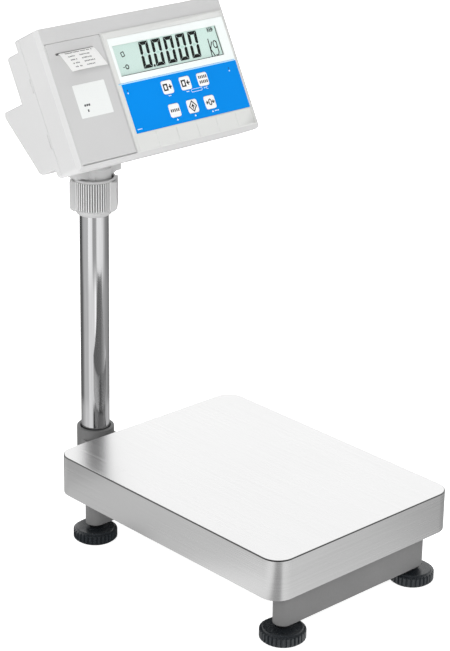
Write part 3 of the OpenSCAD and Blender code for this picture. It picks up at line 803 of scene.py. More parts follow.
def make_foot(corner):
    at = joint_mm(f"foot_{corner}_turn")
    centre = (at.x, at.y)
    low, high = box_mm("foot_wheel_" + corner)
    radius, bottom, top = (high.x - low.x) / 2, low.z, high.z
    # (radius, height, how deep the grooves are) from the underside to the middle of the top
    profile = [(radius - 1.3, bottom, 0.1), (radius - 0.5, bottom + 0.35, 0.7), (radius, bottom + 1.1, 1),
               (radius, top - 3.6, 1), (radius - 0.25, top - 3.0, 0.9), (radius - 0.9, top - 2.5, 0.5),
               (radius - 2.3, top - 2.1, 0), (radius - 3.4, top - 1.8, 0), (radius - 3.8, top - 0.8, 0),
               (radius - 4.2, top - 0.2, 0), (radius - 4.9, top, 0), (radius - 9.8, top, 0)]
    bm = bmesh.new()
    loft(bm, [fluted_ring(r, 2.1, 32, z, centre, amount) for r, z, amount in profile])
    finished(f"foot_wheel_{corner}_fluted", bm, f"foot_wheel_{corner}")

    low, high = box_mm("foot_sole_" + corner)
    sole = (high.x - low.x) / 2
    bm = bmesh.new()
    turned(bm, [(sole - 0.9, 0), (sole - 0.3, 0.2), (sole, 0.8), (sole, high.z)], centre)
    finished(f"foot_sole_{corner}_rubber", bm, f"foot_sole_{corner}")

    low, high = box_mm("foot_stud_" + corner)
    stud, pitch, around, depth = (high.x - low.x) / 2, 1.5, 24, 0.45
    layers = int((high.z - low.z) / (pitch / 4))
    rings = []
    for k in range(layers + 1):
        z = low.z + (high.z - low.z) * k / layers
        ring = []
        for i in range(around):
            phase = (z / pitch - i / around) % 1
            r = stud - depth * abs(2 * phase - 1)
            a = 2 * math.pi * i / around
            ring.append((centre[0] + r * math.cos(a), centre[1] + r * math.sin(a), z))
        rings.append(ring)
    bm = bmesh.new()
    loft(bm, rings)
    finished(f"foot_stud_{corner}_thread", bm, f"foot_stud_{corner}", sharp=50)


def make_socket():
    low, high = box_mm("pole_socket")
    outer = (high.x - low.x) / 2
    pole_low, pole_high = box_mm("pole")
    pole = (pole_high.x - pole_low.x) / 2
    lip, seat = outer - 1.3, pole + 1.6
    profile = [(outer - 2, low.z), (outer - 0.6, low.z + 0.6), (outer, low.z + 2), (outer, high.z - 1.2),
               (outer - 0.35, high.z - 0.35), (lip, high.z), (seat + 0.5, high.z), (seat, high.z - 0.5),
               (seat, high.z - 5), (pole + 0.05, high.z - 5), (pole + 0.05, pole_low.z)]
    bm = bmesh.new()
    turned(bm, profile, (POLE.x, POLE.y))
    obj = make("pole_socket_casting", bm, FINISH["socket_grey"])
    # two screw holes behind the pole and one in front of it
    holes = bmesh.new()
    for z in (45, 64):
        rod(holes, 3.05, (POLE.x, POLE.y + pole - 2, z), (POLE.x, POLE.y + outer + 5, z))
    rod(holes, 5, (POLE.x, POLE.y - outer - 5, 48), (POLE.x, POLE.y - pole + 2, 48))
    carve(obj, holes)
    stand(obj, "pole_socket")


# ---------- collar, neck and knobs ----------

def make_collar():
    low, high = box_mm("collar_nut")
    centre = (POLE.x, POLE.y)
    nut, teeth, top, bottom = 27.6, 52, high.z, low.z
    flutes = top - 43
    # (radius, height, groove amount) up the outside, over the rim and down the bore
    outside = [(19.9, bottom, 0), (21.4, bottom + 0.3, 0), (22.9, bottom + 1.8, 0), (23.9, bottom + 4.2, 0),
               (24.3, flutes - 1.2, 0), (25.2, flutes - 0.2, 0), (26.4, flutes + 0.5, 0.3),
               (nut, flutes + 2.2, 1), (nut, top - 4.6, 1), (nut - 0.2, top - 3.6, 0.4),
               (nut + 0.2, top - 3.0, 0), (nut + 0.6, top - 2.6, 0), (nut + 0.6, top - 0.9, 0),
               (nut + 0.3, top - 0.25, 0), (nut - 0.3, top, 0)]
    inside = [(26.0, top, 0), (25.7, top - 0.4, 0), (25.6, top - 17, 0), (23.0, top - 17, 0),
              (23.0, bottom + 6, 0), (19.4, bottom + 6, 0), (19.4, bottom + 0.5, 0)]
    bm = bmesh.new()
    rings = [fluted_ring(r, 2.3, teeth, z, centre, amount, COLLAR_TOOTH) for r, z, amount in outside + inside]
    loft(bm, rings, closed=True)
    obj = make("collar_nut_fluted", bm, FINISH["collar_plastic"])
    # two flat wings, cut off at the core
    levels = ((flutes - 0.5, 4.5), (flutes + 0.3, 3.2), (flutes + 2.6, 0.6), (flutes + 3.6, 0),
              (top - 4.4, 0), (top - 3.7, 0.25), (top - 3.4, 0.8))
    turn = Matrix.Rotation(math.radians(-43), 2)
    rings = []
    for z, inset in levels:
        outline = rounded_rect(61 - 2 * inset, 33 - min(inset, 1.0), 2.2, 5)
        rings.append(lift([turn @ Vector(point) for point in outline], z, centre))
    wings = bmesh.new()
    loft(wings, rings)
    wing = make("wing", wings, None)
    core = bmesh.new()
    turned(core, [(23.6, bottom - 5), (23.6, top - 17.4), (26.2, top - 17.4), (26.2, top + 5)], centre)
    carve(wing, core)
    cut(obj, wing, "UNION")
    smooth(obj, 35)
    stand(obj, "collar_nut")


def make_friction_ring():
    """Ring that the collar presses on the neck; it sits a little below the rim, and its black finish is
    painted shade for the gap inside the rim.
    """
    top = box_mm("collar_nut")[1].z
    profile = ((22.6, 16), (24.6, 16), (25.1, 15.2), (25.1, 3.4), (24.7, 2.9), (22.6, 2.9))
    bm = bmesh.new()
    turned(bm, [(r, top - depth) for r, depth in profile], (POLE.x, POLE.y), closed=True)
    ring = make("friction_ring_moulded", bm, FINISH["wheel_black"])
    own(ring, NODES["friction_ring"]["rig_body"], "friction_ring", slot="wheel_black")


def make_neck():
    carry("neck", 0.8)
    # moulded rib down the front of the neck
    top = box_mm("collar_nut")[1].z
    radius, toward = 22.4, math.radians(-123)
    bm = bmesh.new()
    pillow(bm, 2.4, 1.1, 0.5, 3, top - 6, top + 5, high=0.3)
    place = (Matrix.Translation(Vector((POLE.x, POLE.y, 0)) * MM) @ Matrix.Rotation(toward, 4, "Z")
             @ Matrix.Translation(Vector((radius, 0, 0)) * MM))
    rib = make("neck_rib", bm, FINISH["collar_plastic"], place)
    own(rib, "neck", slot="neck_plastic")


def make_knob(side, sign):
    """Six-lobed knob that turns about x."""
    low, high = box_mm("tilt_knob_" + side)
    hub = low.x if sign > 0 else -high.x
    reach, lobes, lobe_height, steps = 14.0, 6, 2.6, 96
    at = joint_mm(f"knob_{side}_turn")
    # (distance from the hub's inner end, share of the radius)
    profile = ((0, 0.62), (0.5, 0.68), (2.4, 0.70), (3.0, 0.90), (3.9, 0.98), (5, 1), (11.5, 1), (12.9, 0.97),
               (13.9, 0.88), (14.6, 0.7), (15.1, 0.45))
    rings = []
    for along, grow in profile:
        ring = []
        for k in range(steps):
            a = 2 * math.pi * k / steps
            lobe = (0.5 + 0.5 * math.cos(lobes * a)) ** 0.7 * (1 if along > 2.9 else 0)
            r = grow * (reach - lobe_height + lobe_height * lobe)
            ring.append((sign * (hub + along), at.y + r * math.cos(a), at.z + r * math.sin(a)))
        rings.append(ring)
    bm = bmesh.new()
    loft(bm, rings)
    finished(f"tilt_knob_{side}_lobed", bm, f"tilt_knob_{side}", sharp=40)


# ---------- indicator ----------

# Depths and places in the indicator's frame, in mm
FRONT_DEPTH, EDGE_CUT, WALL = 45, 5, 2.5
BOX_TOP, BOX_BACK, STEP_DOWN, LEDGE_BACK = 13, 76, 71, 114
HEEL = (117.5, 77)
TOE = (84.5, 157)
BASE_DOWN = 160.5
FACE_H = 170
BARREL = 3.5
# The parting line: its distance in front of the shell's rear edge, its width and its depth
PARTING, PARTING_WIDE, PARTING_DEEP = 9, 0.5, 0.45
# Sockets: how far down they sit, then across, half width and half height of the two box sockets,
# and across and radius of the two round ones
PORT_DOWN = 42
BOX_PORTS = ((-38, 15.5, 6), (-2, 6.5, 6))
ROUND_PORTS = ((34, 5.5), (70, 8))
BRACKET_SCREWS = [(x, z) for x in (-16, 16) for z in (-16, 16)]
# The slanted pad that the bracket is screwed to
SLANT = math.atan((HEEL[0] - TOE[0]) / (TOE[1] - HEEL[1]))
SLOPE = FACE @ Matrix.Translation(Vector((0, PIVOT_BACK, -PIVOT_DOWN)) * MM) @ Matrix.Rotation(-SLANT, 4, "X")


def eased(points, radii, steps=10):
    """Outline with its corners rounded, each by its own radius."""
    outline = []
    for k, radius in enumerate(radii):
        corner = Vector(points[k])
        before = (Vector(points[k - 1]) - corner).normalized()
        after = (Vector(points[(k + 1) % len(points)]) - corner).normalized()
        if not radius:
            outline.append(tuple(corner))
            continue
        half = before.angle(after) / 2
        centre = corner + (before + after).normalized() * radius / math.sin(half)
        start = (corner + before * radius / math.tan(half) - centre).normalized()
        end = (corner + after * radius / math.tan(half) - centre).normalized()
        outline += [tuple(centre + start.slerp(end, step / steps) * radius) for step in range(steps + 1)]
    return outline


def front_form(half, inset, name, edge):
    """The front shell's solid form, set in from its outside."""
    deep, drop = FRONT_DEPTH - inset, FACE_H - inset
    side = [(inset, -inset), (deep, -inset), (deep, -(drop + 3)), (EDGE_CUT, -(drop + 6)), (inset, -drop)]
    wide = half - inset
    plan = [(-wide, deep), (-wide, EDGE_CUT), (-wide + EDGE_CUT, inset),
            (wide - EDGE_CUT, inset), (wide, EDGE_CUT), (wide, deep)]
    if edge:
        side = eased(side, (0, 3, 6, 4, 0))
    bm = bmesh.new()
    prism_x(bm, side, -half - 20, half + 20)
    obj = make(name, bm, FINISH["shell_abs"], FACE)
    column = bmesh.new()
    loft(column, [lift(plan, z) for z in (-FACE_H - 40, 40)])
    carve(obj, column, "INTERSECT")
    if edge:
        outline = eased([(-half, -FACE_H - 6), (half, -FACE_H - 6), (half, 0), (-half, 0)], (8, 8, 3, 3))
        corners = bmesh.new()
        loft(corners, [[(x, y, z) for x, z in outline] for y in (-5, FRONT_DEPTH + 5)])
        carve(obj, corners, "INTERSECT")
        soften(obj, edge, 4, angle=12)
    return obj


def make_front_shell():
    half = face_box("front_shell")[1].x
    shell = front_form(half, 0, "front_shell_moulding", 1.3)
    cut(shell, front_form(half, WALL, "cavity", 0))
    cover_low, cover_high = face_box("printer_cover")
    window_low, window_high = face_box("display_window")
    key_low, key_high = face_box("key_1")[0], face_box("key_6")[1]
    keys_bottom, keys_top = face_box("key_6")[0].z, face_box("key_1")[1].z
    rear_half = face_box("rear_shell")[1].x
    gap = 0.25
    tools = bmesh.new()
    brick(tools, (-rear_half + WALL, 30, -BASE_DOWN + WALL), (rear_half - WALL, 60, -BOX_TOP - WALL))
    brick(tools, (window_low.x - 3, -1, window_low.z - 4), (window_high.x + 5, 5, window_high.z + 3.5))
    brick(tools, (key_low.x - 4.5, -1, keys_bottom - 4.7), (key_high.x + 4.5, 5, keys_top + 4.4))
    brick(tools, (cover_low.x - gap, -1, cover_low.z - gap), (cover_high.x + gap, 12, cover_high.z + gap))
    carve(shell, tools)
    # hinge lugs beside the cover's barrel
    lugs = bmesh.new()
    for x in (cover_low.x - 3.5, cover_high.x + gap):
        brick(lugs, (x, 1, cover_low.z - 2), (x + 3.1, 8, cover_low.z + 2 * BARREL + 1.5))
    carve(shell, lugs, "UNION")
    # parting line over the top and down the sides, two latch slots in each side, screw holes in the rear rim
    marks = bmesh.new()
    line = (FRONT_DEPTH - PARTING, FRONT_DEPTH - PARTING + PARTING_WIDE)
    brick(marks, (-half - 1, line[0], -PARTING_DEEP), (half + 1, line[1], 5))
    latch = (FRONT_DEPTH - 6.4, FRONT_DEPTH - 5.2)
    for side in (-half, half):
        brick(marks, (side - PARTING_DEEP, line[0], -FACE_H - 10), (side + PARTING_DEEP, line[1], 10))
        for down in (58, 128):
            brick(marks, (side - 0.8, latch[0], -down - 9), (side + 0.8, latch[1], -down + 9))
    for x in (-118, 118):
        for down in (7, 166.5):
            rod(marks, 2, (x, FRONT_DEPTH - 6, -down), (x, FRONT_DEPTH + 1, -down), 24)
    carve(shell, marks)
    stand(shell, "front_shell")


def rear_outline(inset):
    """Side view of the rear shell, set in from its outside."""
    front = FRONT_DEPTH - 1
    return [(front, -(BOX_TOP + inset)), (BOX_BACK - inset, -(BOX_TOP + inset)),
            (BOX_BACK - inset, -(STEP_DOWN + inset)), (LEDGE_BACK - 0.7 * inset, -(STEP_DOWN + inset)),
            (HEEL[0] - inset, -(HEEL[1] + 0.6 * inset)), (TOE[0] - inset, -(TOE[1] - 0.6 * inset)),
            (TOE[0] - 4.5 - inset, -(BASE_DOWN - inset)), (front, -(BASE_DOWN - inset))]


def make_rear_shell():
    half = face_box("rear_shell")[1].x
    bm = bmesh.new()
    prism_x(bm, eased(rear_outline(0), (0, 4, 0, 2, 5, 5, 5, 0)), -half, half)
    shell = make("rear_shell_moulding", bm, FINISH["shell_abs"], FACE)
    soften(shell, 2.2, 4, angle=12)
    cavity = bmesh.new()
    prism_x(cavity, rear_outline(WALL), -half + WALL, half - WALL)
    carve(shell, cavity)
    # all that lies inside the front shell, and the openings for the sockets
    tools = bmesh.new()
    brick(tools, (-200, 0, -300), (200, FRONT_DEPTH, 10))
    back, front = BOX_BACK + 10, BOX_BACK - 10
    for x, wide, tall in BOX_PORTS:
        brick(tools, (x - wide, front, -PORT_DOWN - tall), (x + wide, back, -PORT_DOWN + tall))
    for x, radius in ROUND_PORTS:
        rod(tools, radius, (x, front, -PORT_DOWN), (x, back, -PORT_DOWN), 48)
    carve(shell, tools)
    # screw holes through the slanted pad
    holes = bmesh.new()
    to_face = TO_FACE @ SLOPE
    reach = (PIVOT_BACK - HEEL[0]) * math.cos(SLANT) + (PIVOT_DOWN - HEEL[1]) * math.sin(SLANT)
    for x, z in BRACKET_SCREWS:
        ends = [to_face @ (Vector((x, -reach + depth, z)) * MM) / MM for depth in (-8, 8)]
        rod(holes, 2, *ends, 24)
    carve(shell, holes)
    # recessed panel round the sockets
    recess = bmesh.new()
    pillow(recess, 160, 26, 3, 5, -0.8, 3)
    cut(shell, make("recess", recess, None, on_face(14, BOX_BACK, -PORT_DOWN, -90)))
    smooth(shell)
    stand(shell, "rear_shell")


def make_cover():
    low, high = face_box("printer_cover")
    bottom = low.z + BARREL
    middle = ((low.x + high.x) / 2, (high.z + bottom) / 2)
    bm = bmesh.new()
    pillow(bm, high.x - low.x, high.z - bottom, 2.5, 6, -3, 0, low=0.4, high=0.5)
    cover = make("printer_cover_moulding", bm, FINISH["shell_abs"], on_face(middle[0], 0, middle[1]))

    def along_barrel(tool, radius, extra, steps):
        """Rod along the hinge, in the cover's own directions."""
        ends = [(x - middle[0], bottom - middle[1], -BARREL) for x in (low.x - extra, high.x + extra)]
        rod(tool, radius, *ends, steps)

    bar = bmesh.new()
    along_barrel(bar, BARREL, 0, 40)
    carve(cover, bar, "UNION")
    # the paper slot and the bore for the hinge pin
    slot = bmesh.new()
    left, right = STRIP_LOW.x - 2.6 - middle[0], STRIP_HIGH.x + 0.6 - middle[0]
    slot_up = -STRIP_SLOT + 0.85 - middle[1]
    brick(slot, (left, slot_up - 2.4, -6), (right, slot_up, 3))
    along_barrel(slot, 1.55, 3, 32)
    carve(cover, slot)
    stand(cover, "printer_cover")


def make_bezel():
    bezel = carry("display_bezel", 0.3, 2)
    # two fine grooves inside the right edge
    low, high = face_box("display_bezel")
    grooves = bmesh.new()
    for inset in (2.2, 4.6):
        x = high.x - inset
        brick(grooves, (x - 0.35, low.y - 1, low.z + 2), (x + 0.35, low.y + 0.7, high.z - 2))
    face_mm = Matrix.Translation(FACE.translation / MM) @ FACE.to_3x3().to_4x4()
    bmesh.ops.transform(grooves, matrix=face_mm, verts=grooves.verts)
    # cut as triangles, or the boolean leaves a sliver along the lower edge
    bm = bmesh.new()
    bm.from_mesh(bezel.data)
    bmesh.ops.triangulate(bm, faces=bm.faces)
    bm.to_mesh(bezel.data)
    bm.free()
    carve(bezel, grooves)
    carry("display_frame", 0.12, 2)
    carry("keypad_overlay", 0.12, 2)


# ---------- display ----------

DIGIT_LEFT, DIGIT_TOP, DIGIT_PITCH = -6.6, 38.6, 20.0
DIGIT_W, DIGIT_H, STROKE, SLANT_SHIFT = 15.8, 33.6, 4.4, 3.3
# Opening of the display frame: left, top, right, bottom
WINDOW = (-45.7, 37.5, 124, 76)


def draw_digit(dark, ghost, x0):
    """A zero at x0: six dark segments, with the middle one unlit; its top leans to the right."""
    w, h, t, slit = DIGIT_W - SLANT_SHIFT * 0.3, DIGIT_H, STROKE, 0.3

    def segment(ink, points):
        ink.tile([(x0 + a + SLANT_SHIFT * (1 - b / h), DIGIT_TOP + b) for a, b in points])

    top = [(slit, 0), (w - slit, 0), (w - t - slit * 0.4, t), (t + slit * 0.4, t)]
    segment(dark, top)
    segment(dark, [(a, h - b) for a, b in top])
    upper = [(0, slit), (t, t + slit), (t, h / 2 - t / 2 - slit * 0.3), (t / 2, h / 2 - slit * 0.6),
             (0, h / 2 - t * 0.35)]
    for mirror_x in (False, True):
        for mirror_y in (False, True):
            segment(dark, [(w - a if mirror_x else a, h - b if mirror_y else b) for a, b in upper])
    high, low = h / 2 - t / 2 + 0.2, h / 2 + t / 2 - 0.2
    segment(ghost, [(t * 0.9, h / 2), (t * 1.5, high), (w - t * 1.5, high),
                    (w - t * 0.9, h / 2), (w - t * 1.5, low), (t * 1.5, low)])


def make_display():
    front = face_box("lcd_panel")[0].y - 0.08
    dark, ghost = Print(front, front + 0.16), Print(front, front + 0.16)
    for k in range(5):
        draw_digit(dark, ghost, DIGIT_LEFT + k * DIGIT_PITCH)
    dot, base = DIGIT_LEFT + DIGIT_PITCH - 3.6, DIGIT_TOP + DIGIT_H
    dark.tile([(dot, base - 3), (dot + 2.7, base - 3), (dot + 2.5, base), (dot - 0.2, base)])
    # unit sign
    for line in ([(106.6, 52), (105.2, 75)], [(111.2, 56.5), (106.2, 65.5), (110.2, 75)]):
        dark.stroke(line, 1.4)
    dark.stroke(oval(115.6, 60.5, 2.9, 4.6, 20), 1.3, closed=True)
    dark.stroke([(118.5, 56.5), (118.0, 71.5), (115.8, 75.2), (112.6, 73.8)], 1.3)
    # battery sign with three bars
    dark.stroke([(109.6, 38.6), (117.8, 38.6), (117.8, 43.6), (109.6, 43.6)], 0.55, closed=True)
    dark.box(118.1, 39.9, 1.0, 2.4)
    dark.row(3, 2.5, 110.5, 39.4, 1.6, 3.4)
    # steady sign and zero sign at the left
    dark.stroke([(-34.6, 47.2), (-30.4, 46.2), (-29.4, 51.4), (-33.6, 52.4)], 1.1, closed=True)
    dark.stroke(oval(-31, 65.4, 2.2, 2.5, 24), 1.3, closed=True)
    dark.stroke([(-37.4, 65.4), (-34.6, 65.4)], 0.8)
    # painted shadow lines of the glass along the window's right and lower edges, in the segments' dark ink
    left, top, right, bottom = WINDOW
    dark.stroke([(left + 1, bottom - 0.5), (right - 0.5, bottom - 0.5), (right - 0.5, top + 1)], 1.0)
    dark.put("display_segments_and_shadow_lines", "lcd_black")
    ghost.put("display_unlit_segments", "lcd_ghost")


# ---------- keypad ----------

def key_centre(number):
    low, high = face_box(f"key_{number}")
    return (low.x + high.x) / 2, -(low.z + high.z) / 2, low.y, high.x - low.x


def icon_strokes(number):
    """Generic pictogram of each key, as strokes (points, width, closed) about the key's centre."""
    box = ([(-5.2, -2.7), (-0.6, -2.7), (-0.6, 2.7), (-5.2, 2.7)], 1.6, True)
    across = ([(1.4, 0), (5.8, 0)], 1.5, False)
    if number == 1:
        return [box, across, ([(3.6, -2.2), (3.6, 2.2)], 1.5, False)]
    if number == 2:
        return [box, across, ([(3.9, -2.2), (1.9, 0), (3.9, 2.2)], 1.3, False)]
    if number in (3, 4):
        rows = (-2.4, 2.4) if number == 3 else (0,)
        return [([(x, y - 1.4), (x, y + 1.4)], 1.5, False) for y in rows for x in (-5.0, -2.5, 0, 2.5, 5.0)]
    if number == 5:
        lines = [([(-1.9, 0.7), (0, -1.6), (1.9, 0.7)], 1.2, False), ([(0, -1.0), (0, 2.8)], 1.2, False)]
        return [([(0, -5.0), (5.0, 0), (0, 5.0), (-5.0, 0)], 1.2, True)] + lines
    arrows = [([(s * 6.4, 0), (s * 3.4, 0)], 1.1, False) for s in (-1, 1)]
    heads = [([(s * 4.9, -1.6), (s * 3.3, 0), (s * 4.9, 1.6)], 1.1, False) for s in (-1, 1)]
    return [(oval(0, 0, 1.9, 2.7, 24), 1.2, True)] + arrows + heads


def make_key(number):
    x, down, front, width = key_centre(number)
    bm = bmesh.new()
    pillow(bm, width, width, 3, 6, -0.4, -front, high=0.7)
    turned(bm, [(4, -3), (4, -0.2)], (0, 0), 32)
    finished(f"key_{number}_cap", bm, f"key_{number}", place=on_face(x, 0, -down))
    art = Print(front - 0.05, front + 0.05)
    for points, width, closed in icon_strokes(number):
        art.stroke([(x + a * 1.15, down + b * 1.3) for a, b in points], width * 1.15, closed)
    art.put(f"key_{number}_sign", "print_black", f"key_{number}")


def make_keypad_print():
    """White, cyan and dark print on the keypad film."""
    low, high = face_box("keypad_overlay")
    left, right, top, bottom = low.x, high.x, -high.z, -low.z
    line, hair, marks, dark = [Print(low.y - 0.05, low.y + 0.05) for _ in range(4)]
    line.stroke([(left - 4, top - 0.4), (right - 1, top - 0.4)], 1.0)
    hair.stroke([(left - 4, top - 1.5), (right - 1, top - 1.5)], 0.5)
    line.put("film_light_line", "print_cyan")
    hair.put("film_blue_line", "print_blue")
    for x in (left + 6, right - 15):
        dark.tile(oval(x, top + 8.2, 0.8, 0.8, 16))
        marks.tile(oval(x, top + 11.6, 0.9, 0.9, 16))
    for number in range(1, 7):
        x, down, _, width = key_centre(number)
        below = down + width / 2
        if number < 4:
            marks.row(2, 2.4, x - 2.2, below + 1.8, 1.6, 1.2)
        else:
            marks.tile([(x - 1.5, below + 4.4), (x, below + 2.0), (x + 1.5, below + 4.4)])
    marks.row(3, 2.4, x + 3.4, below + 2.6, 1.6, 1.3)
    # roll sign between the second and third key, with a turning arrow after it
    x2, down, _, width = key_centre(2)
    x3 = key_centre(3)[0]
    y = down + width / 2 + 2.6
    marks.stroke([(x2 + 6.5, y - 1.6), (x3 - 6.5, y - 1.6), (x3 - 5.5, y), (x3 - 6.5, y + 1.8),
                  (x2 + 6.5, y + 1.8), (x2 + 5.5, y)], 0.5, closed=True)
    turns = [math.radians(a) for a in range(40, 320, 20)]
    marks.stroke([(x3 + 3 + 1.5 * math.cos(a), y + 0.2 + 1.5 * math.sin(a)) for a in turns], 0.5)
    marks.row(4, 1.9, left + 3, bottom - 5.2, 1.2, 1.2)
    marks.put("film_white_marks", "print_white")
    dark.put("film_dark_dots", "print_black")


# ---------- printer ----------

# The label on the cover: left, top, width and height
LABEL = (-121, 74, 49, 41)
# The paper: lean at its end in degrees, its lengths inside and outside the slot, and how far down the slot is
STRIP_LEAN, STRIP_INSIDE, STRIP_LENGTH, STRIP_SLOT = 30, 5.0, 33.0, 33.2
STRIP_STEP = 0.5
STRIP_THICK = 0.14
STRIP_LOW, STRIP_HIGH = face_box("paper_strip")


def make_label():
    left, top, wide, tall = LABEL
    bm = bmesh.new()
    pillow(bm, wide, tall, 1.2, 4, -0.03, 0.14)
    place = on_face(left + wide / 2, 0, -(top + tall / 2))
    own(make("cover_label", bm, INK["label_white"], place), "cover")
    marks = Print(-0.19, -0.05)
    for x in (-112, -108.9, -105.8):
        marks.tile([(x, 99), (x + 2.4, 98.6), (x + 2.4, 101.2), (x, 101.4)])
    marks.tile([(-109, 105.6), (-107, 105.3), (-107.3, 108.4), (-109.2, 108.6)])
    marks.put("cover_label_marks", "print_grey", "cover")


def strip_path():
    """Side view of the paper, as (out, down, lean): it leaves the slot steeply and curls down."""
    halves = []
    for way, length in ((1, STRIP_LENGTH), (-1, STRIP_INSIDE)):
        out, down, places = 0.0, STRIP_SLOT, []
        for k in range(int(length / STRIP_STEP) + 1):
            lean = math.radians(min(84, STRIP_LEAN + 46 * math.exp(-way * k * STRIP_STEP / 3.4)))
            places.append((out, down, lean))
            out += way * STRIP_STEP * math.sin(lean)
            down += way * STRIP_STEP * math.cos(lean)
        halves.append(places)
    return halves[1][:0:-1] + halves[0]


PATH = strip_path()


def strip_point(across, along, lift_off):
    """Point on the curled paper: across the strip, along it from the slot, and off its middle."""
    place = min(max((along + STRIP_INSIDE) / STRIP_STEP, 0), len(PATH) - 1.001)
    first, second = PATH[int(place):int(place) + 2]
    out, down, lean = [a + (b - a) * (place % 1) for a, b in zip(first, second)]
    middle = (STRIP_LOW.x + STRIP_HIGH.x) / 2
    side = (across - middle) / (STRIP_HIGH.x - middle)
    off = lift_off - 0.8 * side * side * max(0.0, along) / STRIP_LENGTH
    return (across, -(out + off * math.cos(lean)), -(down - off * math.sin(lean)))


def make_strip():
    columns, rows = 16, 30
    places = [STRIP_LOW.x + (STRIP_HIGH.x - STRIP_LOW.x) * i / columns for i in range(columns + 1)]
    rings = []
    for j in range(rows + 1):
        along = -STRIP_INSIDE + (STRIP_LENGTH + STRIP_INSIDE) * j / rows
        # the torn end is slightly ragged
        ragged = 0.35 if j == rows else 0
        ends = [(x, along + ragged * math.sin(9.1 * x) * math.sin(2.3 * x)) for x in places]
        rings.append([strip_point(x, end, STRIP_THICK / 2) for x, end in ends]
                     + [strip_point(x, end, -STRIP_THICK / 2) for x, end in reversed(ends)])
    bm = bmesh.new()
    loft(bm, rings)
    finished("paper_strip_curled", bm, "paper_strip", 40, FACE)
    ink = bmesh.new()

    def dash(x, length, along):
        """One printed dash, laid on the paper's curve."""
        ends, low, high = (along, along + 1.7), STRIP_THICK / 2 - 0.02, STRIP_THICK / 2 + 0.05
        loft(ink, [[strip_point(a, ends[0], low), strip_point(a, ends[1], low),
                    strip_point(a, ends[1], high), strip_point(a, ends[0], high)] for a in (x, x + length)])

    for row, along in enumerate((3.6, 9.6, 15.2, 20.8, 26.6)):
        x = STRIP_LOW.x + (9 if row else 8)
        stop = STRIP_HIGH.x - (36 if row else 6)
        while x < stop:
            length = rng.uniform(0.9, 1.8)
            dash(x, length, along + rng.uniform(-0.15, 0.15))
            x += length + rng.uniform(0.5, 0.9 if rng.random() < 0.7 else 2.8)
        x = STRIP_LOW.x + 26
        while row and x < STRIP_LOW.x + 26 + rng.uniform(12, 15):
            length = rng.uniform(0.9, 1.6)
            dash(x, length, along + rng.uniform(-0.15, 0.15))
            x += length + rng.uniform(0.6, 1.4)
    own(make("paper_strip_print", ink, INK["print_grey"], FACE, 20), "cover")


# ---------- sockets at the back ----------

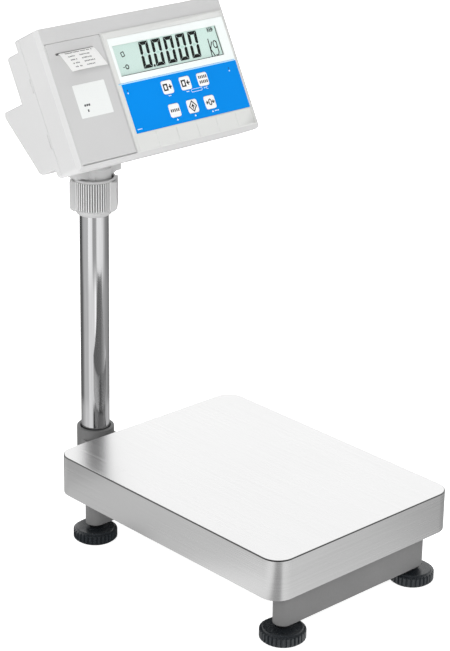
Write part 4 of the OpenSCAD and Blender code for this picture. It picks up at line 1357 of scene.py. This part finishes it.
def make_ports():
    place = on_face(0, BOX_BACK, -PORT_DOWN, -90)
    body, steel, pins = bmesh.new(), bmesh.new(), bmesh.new()
    # nine-pin socket: metal surround, a slanted shell and two hex posts
    x, wide, tall = BOX_PORTS[0]
    pillow(steel, 2 * wide - 0.2, 2 * tall - 0.2, 2, 4, -6, -0.2, high=0.3, centre=(x, 0))
    for bm, top, foot, half, low, high in ((steel, 8.2, 7.2, 4, -1, 3.2), (body, 7.6, 6.7, 3.5, 2.0, 3.35)):
        outline = [(x - top, half), (x - foot, -half), (x + foot, -half), (x + top, half)]
        loft(bm, [lift(outline, z) for z in (low, high)])
    for count, start, up in ((5, 5.4, 1.3), (4, 4.05, -1.4)):
        for k in range(count):
            turned(pins, [(0.5, 3.2), (0.5, 3.9), (0.3, 4.1)], (x - start + 2.7 * k, up), 12)
    for side in (-1, 1):
        turned(steel, [(2.2, -0.5), (2.2, 2.6), (1.7, 3.0)], (x + side * 12.2, 0), 6)
    # square data socket
    x, wide, tall = BOX_PORTS[1]
    pillow(steel, 2 * wide - 0.3, 2 * tall - 0.3, 1.4, 4, -6, 1.0, high=0.2, centre=(x, 0))
    pillow(body, 2 * wide - 2.4, 2 * tall - 2.4, 0.8, 3, 0.9, 1.15, centre=(x, 0))
    pillow(steel, 5.4, 2.4, 0.3, 2, 1.1, 1.6, centre=(x, 0))
    # power jack: dark ring round a steel pin
    x, r = ROUND_PORTS[0]
    turned(body, [(r - 0.1, -8), (r - 0.1, 0.8), (r - 0.5, 1.2), (3.2, 1.2), (3.0, 0.9), (3.0, -7),
                  (0.2, -7.2), (0.2, -8)], (x, 0), 48, closed=True)
    turned(pins, [(1.0, -7.1), (1.0, -0.6), (0.6, -0.2)], (x, 0), 20)
    # load cell socket: steel ring with an insert and five pins
    x, r = ROUND_PORTS[1]
    turned(steel, [(r - 0.1, -8), (r - 0.1, 1.0), (r + 1.2, 1.0), (r + 1.4, 1.3), (r + 1.4, 2.6),
                   (r + 1.0, 3.0), (r - 1.0, 3.0), (r - 1.3, 2.7), (r - 1.3, -8)], (x, 0), 64, closed=True)
    turned(body, [(r - 1.4, -7.5), (r - 1.4, 0.6), (r - 1.8, 0.9)], (x, 0), 48)
    for k in range(5):
        a = math.tau * (k + 0.25) / 5
        turned(pins, [(0.65, 0.7), (0.65, 2.1), (0.35, 2.4)], (x + 3.6 * math.cos(a), 3.6 * math.sin(a)), 14)
    finished("rear_socket_bodies", body, "rear_ports", place=place)
    own(make("rear_socket_shells", steel, INK["port_metal"], place), "head")
    own(make("rear_socket_pins", pins, INK["gold_pin"], place), "head")


# ---------- the scene ----------

# Every CAD node that stays in view gets its finish
for node, obj in NODES.items():
    obj.data.materials.clear()
    obj.data.materials.append(FINISH[SLOT_OF[node]])
make_camera()
make_studio()
make_pan()
for beam in ("front_beam", "rear_beam"):
    make_beam(beam)
for corner in ("fl", "fr", "rl", "rr"):
    make_foot(corner)
make_socket()
for node, width in (("spine", 1.0), ("pole_arm", 1.0), ("load_frame", 0.8), ("foot_lock_nuts", 0.5),
                    ("load_cell", 0.6), ("head_bracket", 0.6), ("printer_frame", 0.4)):
    carry(node, width)
make_collar()
make_friction_ring()
make_neck()
make_knob("left", -1)
make_knob("right", 1)
make_front_shell()
make_rear_shell()
make_cover()
make_bezel()
make_display()
for number in range(1, 7):
    make_key(number)
make_keypad_print()
make_label()
make_strip()
make_ports()
